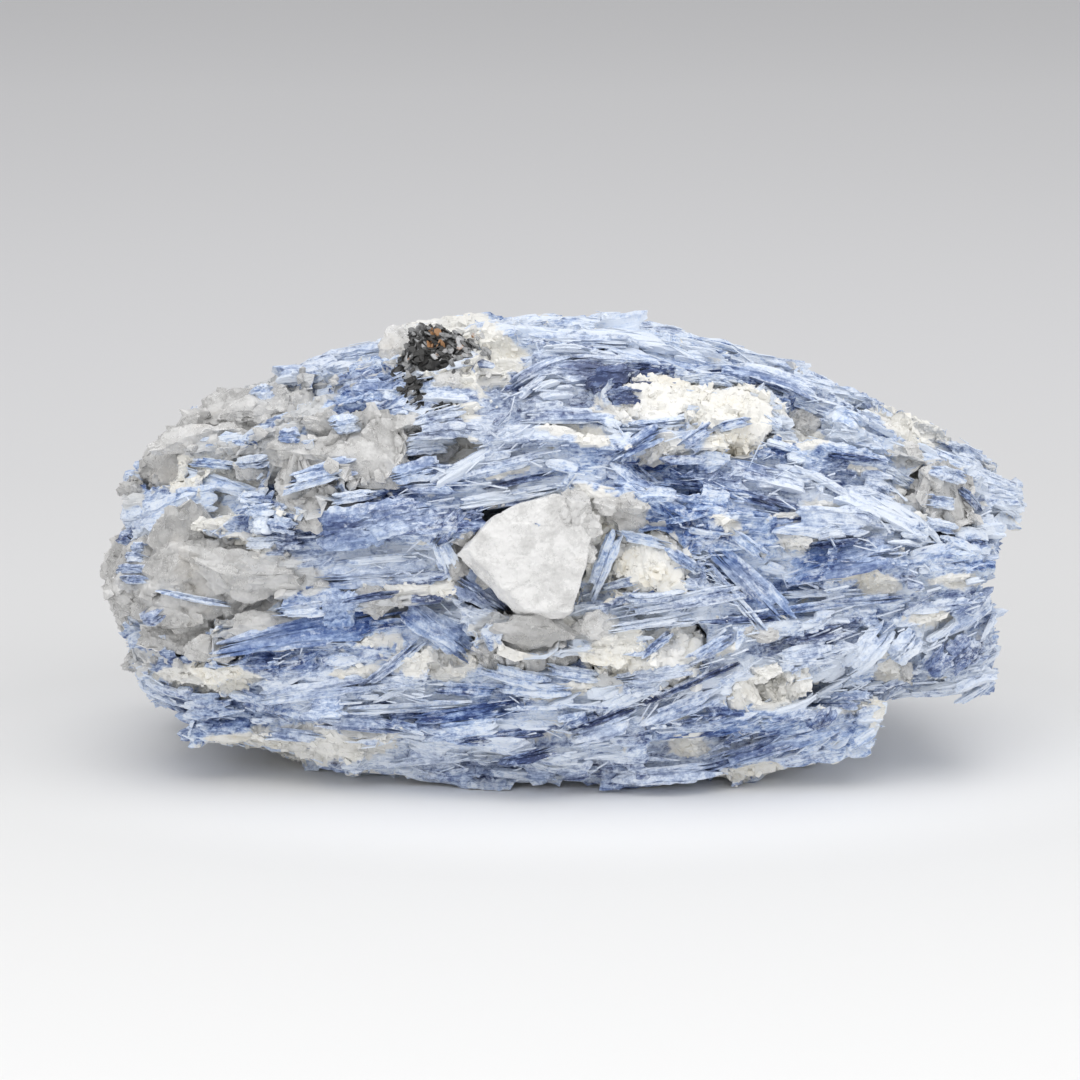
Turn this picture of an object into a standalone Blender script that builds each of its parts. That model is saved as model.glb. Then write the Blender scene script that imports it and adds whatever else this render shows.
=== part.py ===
"""Kyanite blade cluster: a lump of intergrown kyanite blades with quartz masses and a dark mica book.

Frame: +Z up, +X along the blades towards the tapering end, -Y towards the side with the large quartz
crystal. The origin is on the resting face, under the middle of the lump. Units are metres.

Blender 4.5: blender --background --python part.py
"""

import math
import random

import bmesh
import bpy
from mathutils import Matrix, Vector, noise

MM = 0.001
SEED = 41

# The lump
RING_POINTS = 22  # corners round the core's outline
SECTION_POWER = 2.7  # 2 is an ellipse, and higher is boxier
CORE_INSET = 2.6 * MM  # how far the core stays under the blades that cover it
CORE_ROUGHNESS = 0.03  # share of its size
CORE_BUMP = 9 * MM  # size of one bump of that roughness
FUSE_GRAIN = 0.9 * MM  # finest step that is left where blades grew together
FUSE_FACETS = 0.0185  # share of the facets that stay
TRIM_BLOCK = (300 * MM, 200 * MM, 30 * MM)  # what trims the resting face level
TANGENT_STEP = 4 * MM  # half the length over which the lump's direction is measured
TURN_STEP = 0.05  # the same round the lump, in radians

# Outline at stations along the blades, in mm: x, underside, top, front, back.
STATIONS = (
    (-95, 32, 50, -12, 14),
    (-88, 18, 62, -28, 30),
    (-78, 9, 69, -37, 38),
    (-62, 3, 78, -43, 44),
    (-44, -1, 85, -46, 48),
    (-24, -4, 91, -48, 51),
    (0, -4, 92, -50, 52),
    (20, -4, 89, -50, 51),
    (38, -3, 84, -47, 49),
    (50, 6, 80, -44, 46),
    (60, 14, 76, -41, 43),
    (70, 19, 72, -37, 40),
    (80, 21, 67, -32, 36),
    (88, 28, 62, -25, 29),
    (93, 40, 58, -12, 16),
)

# Blades that cover the core, in rings along it
BLADE_RING_STEP = 17 * MM
BLADES_PER_RING = 13
BLADE_SCATTER = (0.35, 0.3)  # how far a blade strays from its even place: along and round, in places
BLADE_LENGTH = (28 * MM, 50 * MM)
BLADE_WIDTH = (9 * MM, 17 * MM)
BLADE_THICKNESS = (3.5 * MM, 6 * MM)
BLADE_REACH = 96 * MM  # no covering blade ends further from the middle than this
BLADE_SUNK = 0.62  # share of a blade's thickness that lies under the lump's outline
BLADE_ROLL = math.radians(24)
BLADE_SWING = math.radians(9)
BLADE_BEVEL = 0.24  # share of the smaller of width and thickness
BLADE_SLANT = 0.7  # steepest end: how far it runs along the blade for its width
SLANT_LENGTH = 50 * MM  # a blade shorter than BLADE_SLANT times this breaks off less steeply

# Blades that stand out, as seen from -Y: name, x, z, depth past the outline, length, height, thickness
# across, rise to the right in degrees. All in mm.
STANDING_BLADES = (
    ("shelf_low_right", 36, 9, 2.5, 60, 12, 14, 9),
    ("shelf_low_middle", -2, 6, 1.5, 58, 11, 12, -2),
    ("shelf_low_left", -50, 10, 1.5, 62, 11, 12, -6),
    ("long_low_left", -52, 32, 1.5, 50, 7, 8, 13),
    ("wide_left", -46, 60, 1.0, 40, 13, 8, 3),
    ("upper_left", -68, 71, 0.5, 30, 7, 8, 6),
    ("ledge_middle", 14, 27, 2.0, 50, 9, 10, 9),
    ("middle_right", 55, 50, 1.2, 38, 12, 9, -4),
    ("block_right", 72, 27, 5.0, 36, 19, 24, 2),
    ("block_right_end", 84, 31, 1.0, 17, 16, 22, -6),
    ("tip_right_upper", 86, 59, -3.0, 26, 9, 15, -16),
    ("tip_right_middle", 79, 49, -2.0, 22, 8, 12, -4),
    ("tip_left_upper", -86, 57, -4.0, 19, 8, 12, 4),
    ("tip_left_middle", -88, 43, -2.0, 17, 8, 14, 6),
    ("tip_left_lower", -84, 27, -2.0, 20, 7, 14, 4),
)

# Grains in sockets of the lump: name, stone, and its lumps as (x, y, z, length, depth, height), in mm.
GRAINS = (
    ("quartz_crystal_front", "quartz", ((-9.5, -43, 51, 28, 24, 25),)),
    ("quartz_below_crystal", "quartz", ((-8, -43, 33.5, 23, 19, 10),)),
    (
        "quartz_left_end",
        "quartz",
        (
            (-74, -30, 44, 42, 30, 22),
            (-88, -12, 40, 24, 32, 24),
            (-70, -31, 32, 34, 22, 11),
        ),
    ),
    ("quartz_left_top", "quartz", ((-66, -8, 70, 36, 28, 20), (-80, -5, 62, 24, 26, 18))),
    ("quartz_left_middle", "quartz", ((-42, -40, 73, 17, 15, 14), (-53, -38, 66, 17, 14, 11))),
    ("mica_book", "mica", ((-27.5, -15, 85, 17, 22, 20),)),
    ("feldspar_upper_right", "feldspar", ((18, -31, 81, 20, 20, 13), (33, -31, 78, 20, 20, 12))),
    ("feldspar_beside_crystal", "feldspar", ((18, -44, 50, 15, 18, 13),)),
    ("feldspar_low_middle", "feldspar", ((18, -43, 31, 24, 18, 13),)),
    ("quartz_right_end", "quartz", ((80, -24, 60, 15, 16, 12),)),
)

# Where blades broke off between the two tips of the right-hand end: a wedge right through it, as (x, z) in
# mm under the lump's middle, which sinks towards the back.
GAP_CORNERS = ((87.5, 36.4), (103, 56), (103, 20))
GAP_SINK = 0.21  # for each millimetre back
GAP_REACH = 80 * MM
GRAIN_ROUGHNESS = 0.35  # share of a grain's size
GRAIN_BUMPS = 3.1  # bumps of that roughness along a grain
SOCKET_MARGIN = 0.9 * MM  # how far a socket's corners stand off the grain inside it

STONES = {  # base colour, roughness
    "kyanite": ((0.27, 0.41, 0.68), 0.45),
    "quartz": ((0.74, 0.72, 0.69), 0.35),
    "feldspar": ((0.82, 0.79, 0.70), 0.7),
    "mica": ((0.05, 0.05, 0.055), 0.4),
}


def clear_scene():
    for old in list(bpy.data.objects):
        bpy.data.objects.remove(old)


def stone_material(name):
    colour, roughness = STONES[name]
    material = bpy.data.materials.new(name)
    material.use_nodes = True
    principled = material.node_tree.nodes["Principled BSDF"]
    principled.inputs["Base Color"].default_value = (*colour, 1)
    principled.inputs["Roughness"].default_value = roughness
    principled.inputs["Metallic"].default_value = 0.0
    return material


def add_object(name, bm):
    """A new object that holds the bmesh, which is freed."""
    bmesh.ops.recalc_face_normals(bm, faces=bm.faces)
    mesh = bpy.data.meshes.new(name)
    bm.to_mesh(mesh)
    bm.free()
    made = bpy.data.objects.new(name, mesh)
    bpy.context.scene.collection.objects.link(made)
    return made


def outline_at(x):
    """Underside, top, front and back of the lump at x, on a straight line from station to station."""
    rows = [[value * MM for value in row] for row in STATIONS]
    x = min(max(x, rows[0][0]), rows[-1][0])
    after = next(i for i in range(1, len(rows)) if x <= rows[i][0])
    a, b = rows[after - 1], rows[after]
    share = (x - a[0]) / (b[0] - a[0])
    return [low + (high - low) * share for low, high in zip(a[1:], b[1:])]


def outline_point(x, turn, inset=0.0):
    """The point of the lump's outline at x. turn is 0 at the back, a quarter at the top, a half in front."""
    under, top, front, back = outline_at(x)
    half_depth, half_height = (back - front) / 2 - inset, (top - under) / 2 - inset
    c, s = math.cos(turn), math.sin(turn)
    y = (front + back) / 2 + half_depth * math.copysign(abs(c) ** (2 / SECTION_POWER), c)
    z = (under + top) / 2 + half_height * math.copysign(abs(s) ** (2 / SECTION_POWER), s)
    return Vector((x, y, z))


def outline_frame(x, turn):
    """(along, outward): the way that blades run there, and the way that the surface faces."""
    along = (outline_point(x + TANGENT_STEP, turn) - outline_point(x - TANGENT_STEP, turn)).normalized()
    around = outline_point(x, turn + TURN_STEP) - outline_point(x, turn - TURN_STEP)
    outward = around.cross(along).normalized()
    if outward.dot(outline_point(x, turn) - outline_point(x, turn + math.pi)) < 0:
        outward = -outward
    return along, outward


def front_point(x, z):
    """The point in front (-Y) of the lump's outline at that x and height."""
    under, top, front, back = outline_at(x)
    share = min(abs(z - (under + top) / 2) / ((top - under) / 2), 1.0)
    depth = (back - front) / 2 * (1 - share**SECTION_POWER) ** (1 / SECTION_POWER)
    return Vector((x, (front + back) / 2 - depth, z))


def core():
    """The lump's inside, lofted through the stations."""
    bm = bmesh.new()
    rings = []
    for x, *_ in STATIONS:
        ends = x in (STATIONS[0][0], STATIONS[-1][0])
        ring = bmesh.ops.create_circle(bm, segments=RING_POINTS, radius=1, cap_ends=ends)["verts"]
        for i, vert in enumerate(ring):
            vert.co = outline_point(x * MM, 2 * math.pi * i / RING_POINTS, CORE_INSET)
            vert.co *= 1 + CORE_ROUGHNESS * noise.noise(vert.co / CORE_BUMP)
        rings.append(list(dict.fromkeys(edge for vert in ring for edge in vert.link_edges)))
    for ring, following in zip(rings, rings[1:]):
        bmesh.ops.bridge_loops(bm, edges=ring + following)
    return add_object("core", bm)


def blade(name, middle, along, facing, length, width, thickness, slants):
    """A flat prism with its long edges bevelled and its ends broken off aslant, by the two slants."""
    bm = bmesh.new()
    bmesh.ops.create_cube(bm, size=1)
    long_edges = [e for e in bm.edges if abs(e.verts[0].co.x - e.verts[1].co.x) > 0.5]
    bmesh.ops.scale(bm, vec=(length, width, thickness), verts=bm.verts)
    bmesh.ops.bevel(
        bm, geom=long_edges, offset=BLADE_BEVEL * min(width, thickness), offset_type="OFFSET", segments=1,
        profile=0.5, affect="EDGES", material=-1,
    )
    for vert in bm.verts:
        slant = slants[0] if vert.co.x > 0 else slants[1]
        vert.co.x += slant * (vert.co.y + vert.co.z / 2)
    across = facing.cross(along).normalized()
    facing = along.cross(across)
    turn = Matrix((along, across, facing)).transposed().to_4x4()
    bmesh.ops.transform(bm, matrix=Matrix.Translation(middle) @ turn, verts=bm.verts)
    return add_object(name, bm)


def end_slants(rng, length):
    """How its two ends break off: less steeply on a short blade."""
    steepest = min(BLADE_SLANT, length / SLANT_LENGTH)
    return rng.uniform(-steepest, steepest), rng.uniform(-steepest, steepest)


def covering_blades(rng):
    """Rings of blades that run along the lump and cover its core, as they grew: side by side."""
    first, last = STATIONS[0][0] * MM, STATIONS[-1][0] * MM
    stray_along, stray_round = BLADE_SCATTER
    for ring in range(round((last - first) / BLADE_RING_STEP)):
        for place in range(BLADES_PER_RING):
            x = first + (ring + 0.5 + rng.uniform(-stray_along, stray_along)) * BLADE_RING_STEP
            step = place + rng.uniform(-stray_round, stray_round) + 0.5 * (ring % 2)
            turn = 2 * math.pi * step / BLADES_PER_RING
            along, outward = outline_frame(x, turn)
            along = Matrix.Rotation(rng.gauss(0, BLADE_SWING), 3, outward) @ along
            facing = Matrix.Rotation(rng.gauss(0, BLADE_ROLL), 3, along) @ outward
            thickness = rng.uniform(*BLADE_THICKNESS)
            middle = outline_point(x, turn) - outward * thickness * (BLADE_SUNK - 0.5)
            length = min(rng.uniform(*BLADE_LENGTH), 2 * (BLADE_REACH - abs(x)))
            yield blade(
                f"covering_{ring}_{place}", middle, along, facing, length, rng.uniform(*BLADE_WIDTH),
                thickness, end_slants(rng, length),
            )


def standing_blades(rng):
    for name, x, z, proud, length, height, thickness, rise in STANDING_BLADES:
        along = Matrix.Rotation(math.radians(-rise), 3, "Y") @ Vector((1, 0, 0))
        middle = front_point(x * MM, z * MM) + Vector((0, thickness / 2 - proud, 0)) * MM
        yield blade(
            name, middle, along, Vector((0, -1, 0)), length * MM, height * MM, thickness * MM,
            end_slants(rng, length * MM),
        )


def lump(name, box, grow):
    """A broken grain: a ball with its corners pushed about, then wrapped in flat faces."""
    x, y, z, *size = box
    bm = bmesh.new()
    bmesh.ops.create_icosphere(bm, subdivisions=2, radius=0.5)
    for vert in bm.verts:
        vert.co *= 1 + GRAIN_ROUGHNESS * noise.noise(vert.co * GRAIN_BUMPS + Vector((x, y, z)))
    bmesh.ops.scale(bm, vec=[side * MM for side in size], verts=bm.verts)
    bmesh.ops.delete(bm, geom=bm.edges[:], context="EDGES_FACES")
    hull = bmesh.ops.convex_hull(bm, input=bm.verts)
    bmesh.ops.delete(bm, geom=hull["geom_interior"], context="VERTS")
    bmesh.ops.recalc_face_normals(bm, faces=bm.faces)
    bm.normal_update()
    for vert in bm.verts:
        vert.co += vert.normal * grow
    bmesh.ops.translate(bm, vec=Vector((x, y, z)) * MM, verts=bm.verts)
    return add_object(name, bm)


def fuse(body, others):
    """body and the others grown together: one skin round them all, then fewer, larger facets."""
    bm = bmesh.new()
    for piece in (body, *others):
        bm.from_mesh(piece.data)
    bm.to_mesh(body.data)
    bm.free()
    remesh = body.modifiers.new("grown_together", "REMESH")
    remesh.mode = "VOXEL"
    remesh.voxel_size = FUSE_GRAIN
    facets = body.modifiers.new("facets", "DECIMATE")
    facets.ratio = FUSE_FACETS
    facets.use_collapse_triangulate = True
    settle(body)
    for other in others:
        bpy.data.objects.remove(other)


def settle(body):
    """Applies the modifiers."""
    bpy.context.view_layer.update()
    result = bpy.data.meshes.new_from_object(body.evaluated_get(bpy.context.evaluated_depsgraph_get()))
    body.modifiers.clear()
    body.data = result


def combine(body, others, operation):
    """body joined with, or cut by, the other objects, which are then removed."""
    group = bpy.data.collections.new(operation.lower())
    for other in others:
        group.objects.link(other)
    step = body.modifiers.new(operation.lower(), "BOOLEAN")
    step.solver = "MANIFOLD"
    step.operation = operation
    step.operand_type = "COLLECTION"
    step.collection = group
    settle(body)
    for other in others:
        bpy.data.objects.remove(other)
    bpy.data.collections.remove(group)


def islands(bm):
    """The mesh's connected parts, as lists of vertices."""
    left = set(bm.verts)
    while left:
        part, edge = set(), {next(iter(left))}
        while edge:
            part |= edge
            edge = {e.other_vert(v) for v in edge for e in v.link_edges} - part
        left -= part
        yield list(part)


def keep_outside(body):
    """Leaves only the largest closed surface: chips that a cut freed and hidden hollows go."""
    bm = bmesh.new()
    bm.from_mesh(body.data)
    parts = sorted(islands(bm), key=len)
    for part in parts[:-1]:
        bmesh.ops.delete(bm, geom=part, context="VERTS")
    bmesh.ops.triangulate(bm, faces=[face for face in bm.faces if len(face.verts) > 3])
    bm.to_mesh(body.data)
    bm.free()


def grain(name, boxes, grow=0.0):
    """One grain, its lumps joined."""
    lumps = [lump(f"{name}_{i}", box, grow) for i, box in enumerate(boxes)]
    body = lumps[0]
    body.name = name
    if lumps[1:]:
        combine(body, lumps[1:], "UNION")
    keep_outside(body)
    return body


def gap_at_right_end():
    """A wedge with its edge towards the lump."""
    bm = bmesh.new()
    for y in (-GAP_REACH, GAP_REACH):
        for x, z in GAP_CORNERS:
            bm.verts.new((x * MM, y, z * MM - GAP_SINK * y))
    bmesh.ops.convex_hull(bm, input=bm.verts)
    return add_object("gap_right_end", bm)


def trim_block():
    """A block whose top is the resting face."""
    bm = bmesh.new()
    bmesh.ops.create_cube(bm, size=1)
    bmesh.ops.scale(bm, vec=TRIM_BLOCK, verts=bm.verts)
    bmesh.ops.translate(bm, vec=(0, 0, -TRIM_BLOCK[2] / 2), verts=bm.verts)
    return add_object("trim", bm)


def main():
    clear_scene()
    rng = random.Random(SEED)
    mass = core()
    fuse(mass, [*covering_blades(rng), *standing_blades(rng)])
    sockets = [grain(f"{name}_socket", boxes, SOCKET_MARGIN) for name, _, boxes in GRAINS]
    combine(mass, [*sockets, gap_at_right_end(), trim_block()], "DIFFERENCE")
    keep_outside(mass)
    mass.name = "kyanite_blade_mass"
    pieces = {mass: "kyanite"}
    for name, stone, boxes in GRAINS:
        pieces[grain(name, boxes)] = stone
    materials = {stone: stone_material(stone) for stone in STONES}
    for piece, stone in pieces.items():
        piece.data.materials.clear()
        piece.data.materials.append(materials[stone])


main()
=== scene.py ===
# %% [markdown]
# # A kyanite blade cluster
# A rough lump of kyanite, about as long as a hand. It is hundreds of thin blue blades that grew side by
# side in quartz, so it has no single shape to copy: it is made the way it grew. A closed skin gives the
# body, laths of kyanite are laid on it along one flow, and then come the grains between them: glassy
# quartz, sugary feldspar and a book of black mica. Everything is measured from the solid frame that is
# loaded first.

# %% The frame
import math

import bmesh
import bpy
import numpy as np
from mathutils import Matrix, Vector, noise
from mathutils.bvhtree import BVHTree


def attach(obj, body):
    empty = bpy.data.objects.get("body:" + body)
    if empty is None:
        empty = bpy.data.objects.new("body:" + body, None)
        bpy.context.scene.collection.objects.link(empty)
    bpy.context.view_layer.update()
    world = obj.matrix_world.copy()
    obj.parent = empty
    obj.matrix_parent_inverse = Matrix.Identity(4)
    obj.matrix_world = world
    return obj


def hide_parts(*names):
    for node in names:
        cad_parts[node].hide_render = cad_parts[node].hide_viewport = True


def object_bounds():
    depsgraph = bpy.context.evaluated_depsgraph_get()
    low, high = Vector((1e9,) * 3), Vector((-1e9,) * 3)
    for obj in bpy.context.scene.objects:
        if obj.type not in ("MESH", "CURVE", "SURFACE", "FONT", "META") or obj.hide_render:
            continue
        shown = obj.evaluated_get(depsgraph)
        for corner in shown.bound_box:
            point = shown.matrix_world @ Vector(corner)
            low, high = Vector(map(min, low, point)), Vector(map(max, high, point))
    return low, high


MM = 0.001
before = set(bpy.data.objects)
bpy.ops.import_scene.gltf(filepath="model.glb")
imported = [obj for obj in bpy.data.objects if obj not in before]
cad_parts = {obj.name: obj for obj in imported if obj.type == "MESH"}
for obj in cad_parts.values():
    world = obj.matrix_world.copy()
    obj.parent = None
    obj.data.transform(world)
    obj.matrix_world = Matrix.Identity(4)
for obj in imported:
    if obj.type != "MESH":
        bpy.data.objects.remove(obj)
cad_low, cad_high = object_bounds()
cad_size = cad_high - cad_low
print("the frame is", [round(side / MM, 1) for side in cad_size], "mm and has", len(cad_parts), "solids")


# %% New objects
def link(name, data):
    """A new object in the scene, which holds the mesh, the lamp or the camera."""
    made = bpy.data.objects.new(name, data)
    bpy.context.scene.collection.objects.link(made)
    return made


def from_bmesh(name, bm):
    """A new object with the bmesh's shape."""
    mesh = bpy.data.meshes.new(name)
    bm.to_mesh(mesh)
    bm.free()
    return link(name, mesh)


print("new objects go into the", bpy.context.scene.collection.name)

# %% [markdown]
# ## Camera
# A stone on a table is looked at from a little above. A long lens far away keeps the blades parallel, where
# a short one would make the near side bulge. The same camera also serves as a ruler: a spot on the front of
# the stone is easiest to give as it is seen, so far right of the middle and so far above the foot.

# %% The camera
VIEW_RISE = math.radians(12)
VIEW_DISTANCE = 850 * MM
VIEW_TARGET = Vector((-5.4, 0, 46)) * MM
VIEW_WIDTH = 236 * MM  # what the frame spans at the target
VIEW_FOOT = Vector((5.4, -54.9)) * MM  # where spot (0, 0) lies from the target, as it is seen

view_back = Vector((0, -math.cos(VIEW_RISE), math.sin(VIEW_RISE)))
view_right = Vector((1, 0, 0))
view_up = view_back.cross(view_right)
camera_data = bpy.data.cameras.new("camera")
camera_data.lens = camera_data.sensor_width * VIEW_DISTANCE / VIEW_WIDTH
camera_data.clip_end = 50
camera = link("camera", camera_data)
camera.location = VIEW_TARGET + view_back * VIEW_DISTANCE
camera.rotation_euler = view_back.to_track_quat("Z", "Y").to_euler()
bpy.context.scene.camera = camera
print("lens", round(camera_data.lens), "mm")

# %% [markdown]
# ## Helpers for materials
# A material is a net of nodes. Each helper makes one node, fills its inputs with numbers or with what other
# nodes put out, and hands back its own output, so that a material reads like a few lines of arithmetic.


# %% Nodes
def material(name):
    """(material, its Principled node, its node tree)"""
    made = bpy.data.materials.new(name)
    made.use_nodes = True
    return made, made.node_tree.nodes["Principled BSDF"], made.node_tree


def add_node(tree, kind, values=None, **settings):
    """A node with its settings made, and its inputs filled with values or joined to other nodes' sockets."""
    node = tree.nodes.new(kind)
    for name, value in settings.items():
        setattr(node, name, value)
    for name, value in (values or {}).items():
        if isinstance(value, bpy.types.NodeSocket):
            tree.links.new(value, node.inputs[name])
        else:
            node.inputs[name].default_value = value
    return node


def place_node(tree):
    return add_node(tree, "ShaderNodeTexCoord").outputs["Object"]


def attribute_node(tree, name, output="Fac"):
    return add_node(tree, "ShaderNodeAttribute", attribute_name=name).outputs[output]


def math_node(tree, operation, *values, clamp=False):
    values = dict(enumerate(values))
    return add_node(tree, "ShaderNodeMath", values, operation=operation, use_clamp=clamp).outputs["Value"]


def stepped(tree, value, low, high, to_low=0.0, to_high=1.0, **settings):
    """The value, spread from low and high to the two ends."""
    spread = {"Value": value, "From Min": low, "From Max": high, "To Min": to_low, "To Max": to_high}
    return add_node(tree, "ShaderNodeMapRange", spread, **settings).outputs["Result"]


def pushed(tree, level, push, strength):
    """The level, pushed up or down by a noise that has its middle at 0.5."""
    return math_node(tree, "MULTIPLY_ADD", math_node(tree, "SUBTRACT", push, 0.5), strength, level)


def ramp(tree, factor, stops):
    """A colour ramp's colour, from (place, colour) stops."""
    node = add_node(tree, "ShaderNodeValToRGB", {"Fac": factor})
    elements = node.color_ramp.elements
    while len(elements) < len(stops):
        elements.new(0.5)
    for element, (place, colour) in zip(elements, stops):
        element.position = place
        element.color = (*colour, 1)
    return node.outputs["Color"]


def mixed(tree, factor, first, second):
    """The first colour, changed into the second by the factor."""
    values = {0: factor}
    for socket, value in ((6, first), (7, second)):
        values[socket] = value if isinstance(value, bpy.types.NodeSocket) else (*value, 1)
    return add_node(tree, "ShaderNodeMix", values, data_type="RGBA").outputs[2]


def noise_node(tree, place, scale, stretch=(1, 1, 1), detail=3.0, roughness=0.55):
    mapping = add_node(tree, "ShaderNodeMapping", {"Vector": place, "Scale": stretch})
    values = {"Vector": mapping.outputs["Vector"], "Scale": scale, "Detail": detail, "Roughness": roughness}
    return add_node(tree, "ShaderNodeTexNoise", values).outputs["Fac"]


def finished(tree, shader, colour, roughness, height, strength, distance):
    """Gives the shader its colour and roughness, and a bump of that height."""
    bump_values = {"Height": height, "Strength": strength, "Distance": distance}
    bump = add_node(tree, "ShaderNodeBump", bump_values).outputs["Normal"]
    for socket, value in (("Base Color", colour), ("Roughness", roughness), ("Normal", bump)):
        tree.links.new(value, shader.inputs[socket])


print(len(bpy.data.materials), "materials so far")

# %% [markdown]
# ## Floor and light
# A shop photographs a stone in a light tent, where one sheet of paper is the floor and the walls glow. Here
# the floor is one wide disc that runs out of the picture, so that no horizon shows. Its colour greys away
# from the stone, which is painted shade for where the lamps don't reach, and it is painted whiter near the
# stone, which is painted light that lifts the stone's shadow. Four large soft lamps and a dim sky do the
# rest.

# %% Floor
FLOOR_RADIUS = 9.0
FLOOR_SHADE_FADE = (-0.25, 1.5)  # the distances behind the stone over which the painted shade on the paper changes
FLOOR_OVAL = (0.72, 1, 1)  # the painted light near the stone is long like the stone, so distances along it count less
FLOOR_PAINTED_LIGHT = (0.055, 0.105, 0.62, 0.0)  # painted light: the paper is painted whiter near the stone, to lift its shadow: from and to where, and how much
# The paper's colour by distance behind the stone: painted shade, greyer where the lamps don't reach.
PAPER_SHADE_RAMP = (
    (0.00, (0.86, 0.86, 0.855)),
    (0.19, (0.72, 0.72, 0.72)),
    (0.32, (0.70, 0.70, 0.705)),
    (0.45, (0.72, 0.72, 0.73)),
    (1.00, (0.82, 0.82, 0.83)),
)

floor_bm = bmesh.new()
bmesh.ops.create_circle(floor_bm, cap_ends=True, segments=96, radius=FLOOR_RADIUS)
floor = from_bmesh("floor", floor_bm)


def paper():
    made, shader, tree = material("paper")
    place = place_node(tree)
    behind = add_node(tree, "ShaderNodeSeparateXYZ", {"Vector": place}).outputs["Y"]
    oval = add_node(tree, "ShaderNodeVectorMath", {0: place, 1: FLOOR_OVAL}, operation="MULTIPLY")
    reach = add_node(tree, "ShaderNodeVectorMath", {0: oval.outputs["Vector"]}, operation="LENGTH")
    reach = reach.outputs["Value"]
    # Painted light: how much whiter the paper is painted near the stone, where its shadow falls.
    glow = stepped(tree, reach, *FLOOR_PAINTED_LIGHT, interpolation_type="SMOOTHSTEP")
    # The ramp paints shade on the paper away from the stone, and the mix to white paints light near it.
    colour = mixed(tree, glow, ramp(tree, stepped(tree, behind, *FLOOR_SHADE_FADE), PAPER_SHADE_RAMP), (1, 1, 1))
    tree.links.new(colour, shader.inputs["Base Color"])
    shader.inputs["Roughness"].default_value = 0.8
    shader.inputs["Specular IOR Level"].default_value = 0.1
    return made


floor.data.materials.append(paper())
print("floor", FLOOR_RADIUS, "m from its middle to its edge")

# %% Lamps
LAMPS = (  # name, place, how wide, watts
    ("ceiling", (0.0, -0.3, 1.3), 1.6, 12.2),
    ("front_left", (-0.9, -1.3, 0.55), 1.1, 5.0),
    ("right", (1.3, -0.4, 0.6), 0.9, 4.2),
    ("front_low", (0.3, -1.5, 0.3), 1.0, 1.0),
)
SKY = (0.90, 0.90, 0.91)
SKY_STRENGTH = 0.58

for name, place, width, watts in LAMPS:
    lamp_data = bpy.data.lights.new(name, "AREA")
    lamp_data.size = width
    lamp_data.energy = watts
    lamp = link(name, lamp_data)
    lamp.location = place
    lamp.rotation_euler = (Vector(place) - VIEW_TARGET).to_track_quat("Z", "Y").to_euler()
world = bpy.data.worlds.new("sky")
world.use_nodes = True
world.node_tree.nodes["Background"].inputs["Color"].default_value = (*SKY, 1)
world.node_tree.nodes["Background"].inputs["Strength"].default_value = SKY_STRENGTH
bpy.context.scene.world = world
bpy.context.scene.view_settings.view_transform = "Standard"
print(len(LAMPS), "lamps")

# %% [markdown]
# ## The way the blades run
# The blades lie like straw in a sheaf: tight at the right-hand end, looser at the left. Two curves say how
# the sheaf's middle rises and how wide it is along its length. A point keeps its share of that width all
# along one blade, so the two curves give both the direction of a blade anywhere, and straightened
# coordinates in which every blade runs along X. Streaks, grooves and tones all use those, and so they
# follow the blades.

# %% The sheaf
SHEAF = np.array((  # x, middle height, half height, half depth, in mm
    (-100, 40, 42, 44),
    (-50, 44, 46, 51),
    (0, 47, 48, 54),
    (50, 48, 42, 48),
    (100, 49, 26, 33),
), float)
SHEAF_HALF = 50 * MM  # half width of the straightened sheaf
middle_height, half_height, half_depth = (
    np.polyfit(SHEAF[:, 0] * MM, SHEAF[:, i] * MM, 3) for i in (1, 2, 3)
)


def unit(vectors):
    return vectors / np.maximum(np.linalg.norm(vectors, axis=-1, keepdims=True), 1e-12)


def straighten(points):
    """The points where they would lie if every blade ran along X."""
    x, y, z = points.T
    across = y / np.polyval(half_depth, x)
    up = (z - np.polyval(middle_height, x)) / np.polyval(half_height, x)
    return np.stack((x, across * SHEAF_HALF, up * SHEAF_HALF), 1)


def flow(points):
    """The direction of the blades at the points."""
    x, y, z = points.T
    _, across, up = straighten(points).T / SHEAF_HALF
    slope_y = across * np.polyval(np.polyder(half_depth), x)
    slope_z = np.polyval(np.polyder(middle_height), x) + up * np.polyval(np.polyder(half_height), x)
    return unit(np.stack((np.ones_like(x), slope_y, slope_z), 1))


def field(points, size, seed=0):
    """Smooth noise from about -0.5 to 0.5 at the points. size is a bump's length, or one for each axis."""
    places = points / np.asarray(size) + seed * 7.31
    return np.array([noise.noise(place) for place in places.tolist()])


print("blades at the right end slope", flow(np.array([[90 * MM, 0, 70 * MM]])).round(2))

# %% [markdown]
# ## From solids to a skin
# The frame's solids are coarse: flat facets as wide as a thumb. A voxel remesh wraps each in small, even
# quads that can be pushed about, which a subdivision couldn't do here, because it would round the blades
# off.

# %% Meshes in and out of arrays
BOX_SLACK = 1.0 * MM  # how far a piece may stand outside the frame's box


def read(mesh, what="vertices", value="co", width=3):
    data = getattr(mesh, what)
    out = np.empty(len(data) * width, np.float32)
    data.foreach_get(value, out)
    return out.reshape(-1, width).astype(float)


def normals_of(mesh):
    return read(mesh, "vertex_normals", "vector")


def write(made, points):
    """Moves the object's vertices to the points, kept inside the frame's box and above the table."""
    points = np.clip(points, np.array(cad_low) - BOX_SLACK, np.array(cad_high) + BOX_SLACK)
    points[:, 2] = np.maximum(points[:, 2], 0)
    made.data.vertices.foreach_set("co", points.astype(np.float32).ravel())
    made.data.update()


def raised(made, heights):
    """The object with its vertices moved out along their normals by the heights."""
    write(made, read(made.data) + normals_of(made.data) * heights[:, None])
    return made


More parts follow.
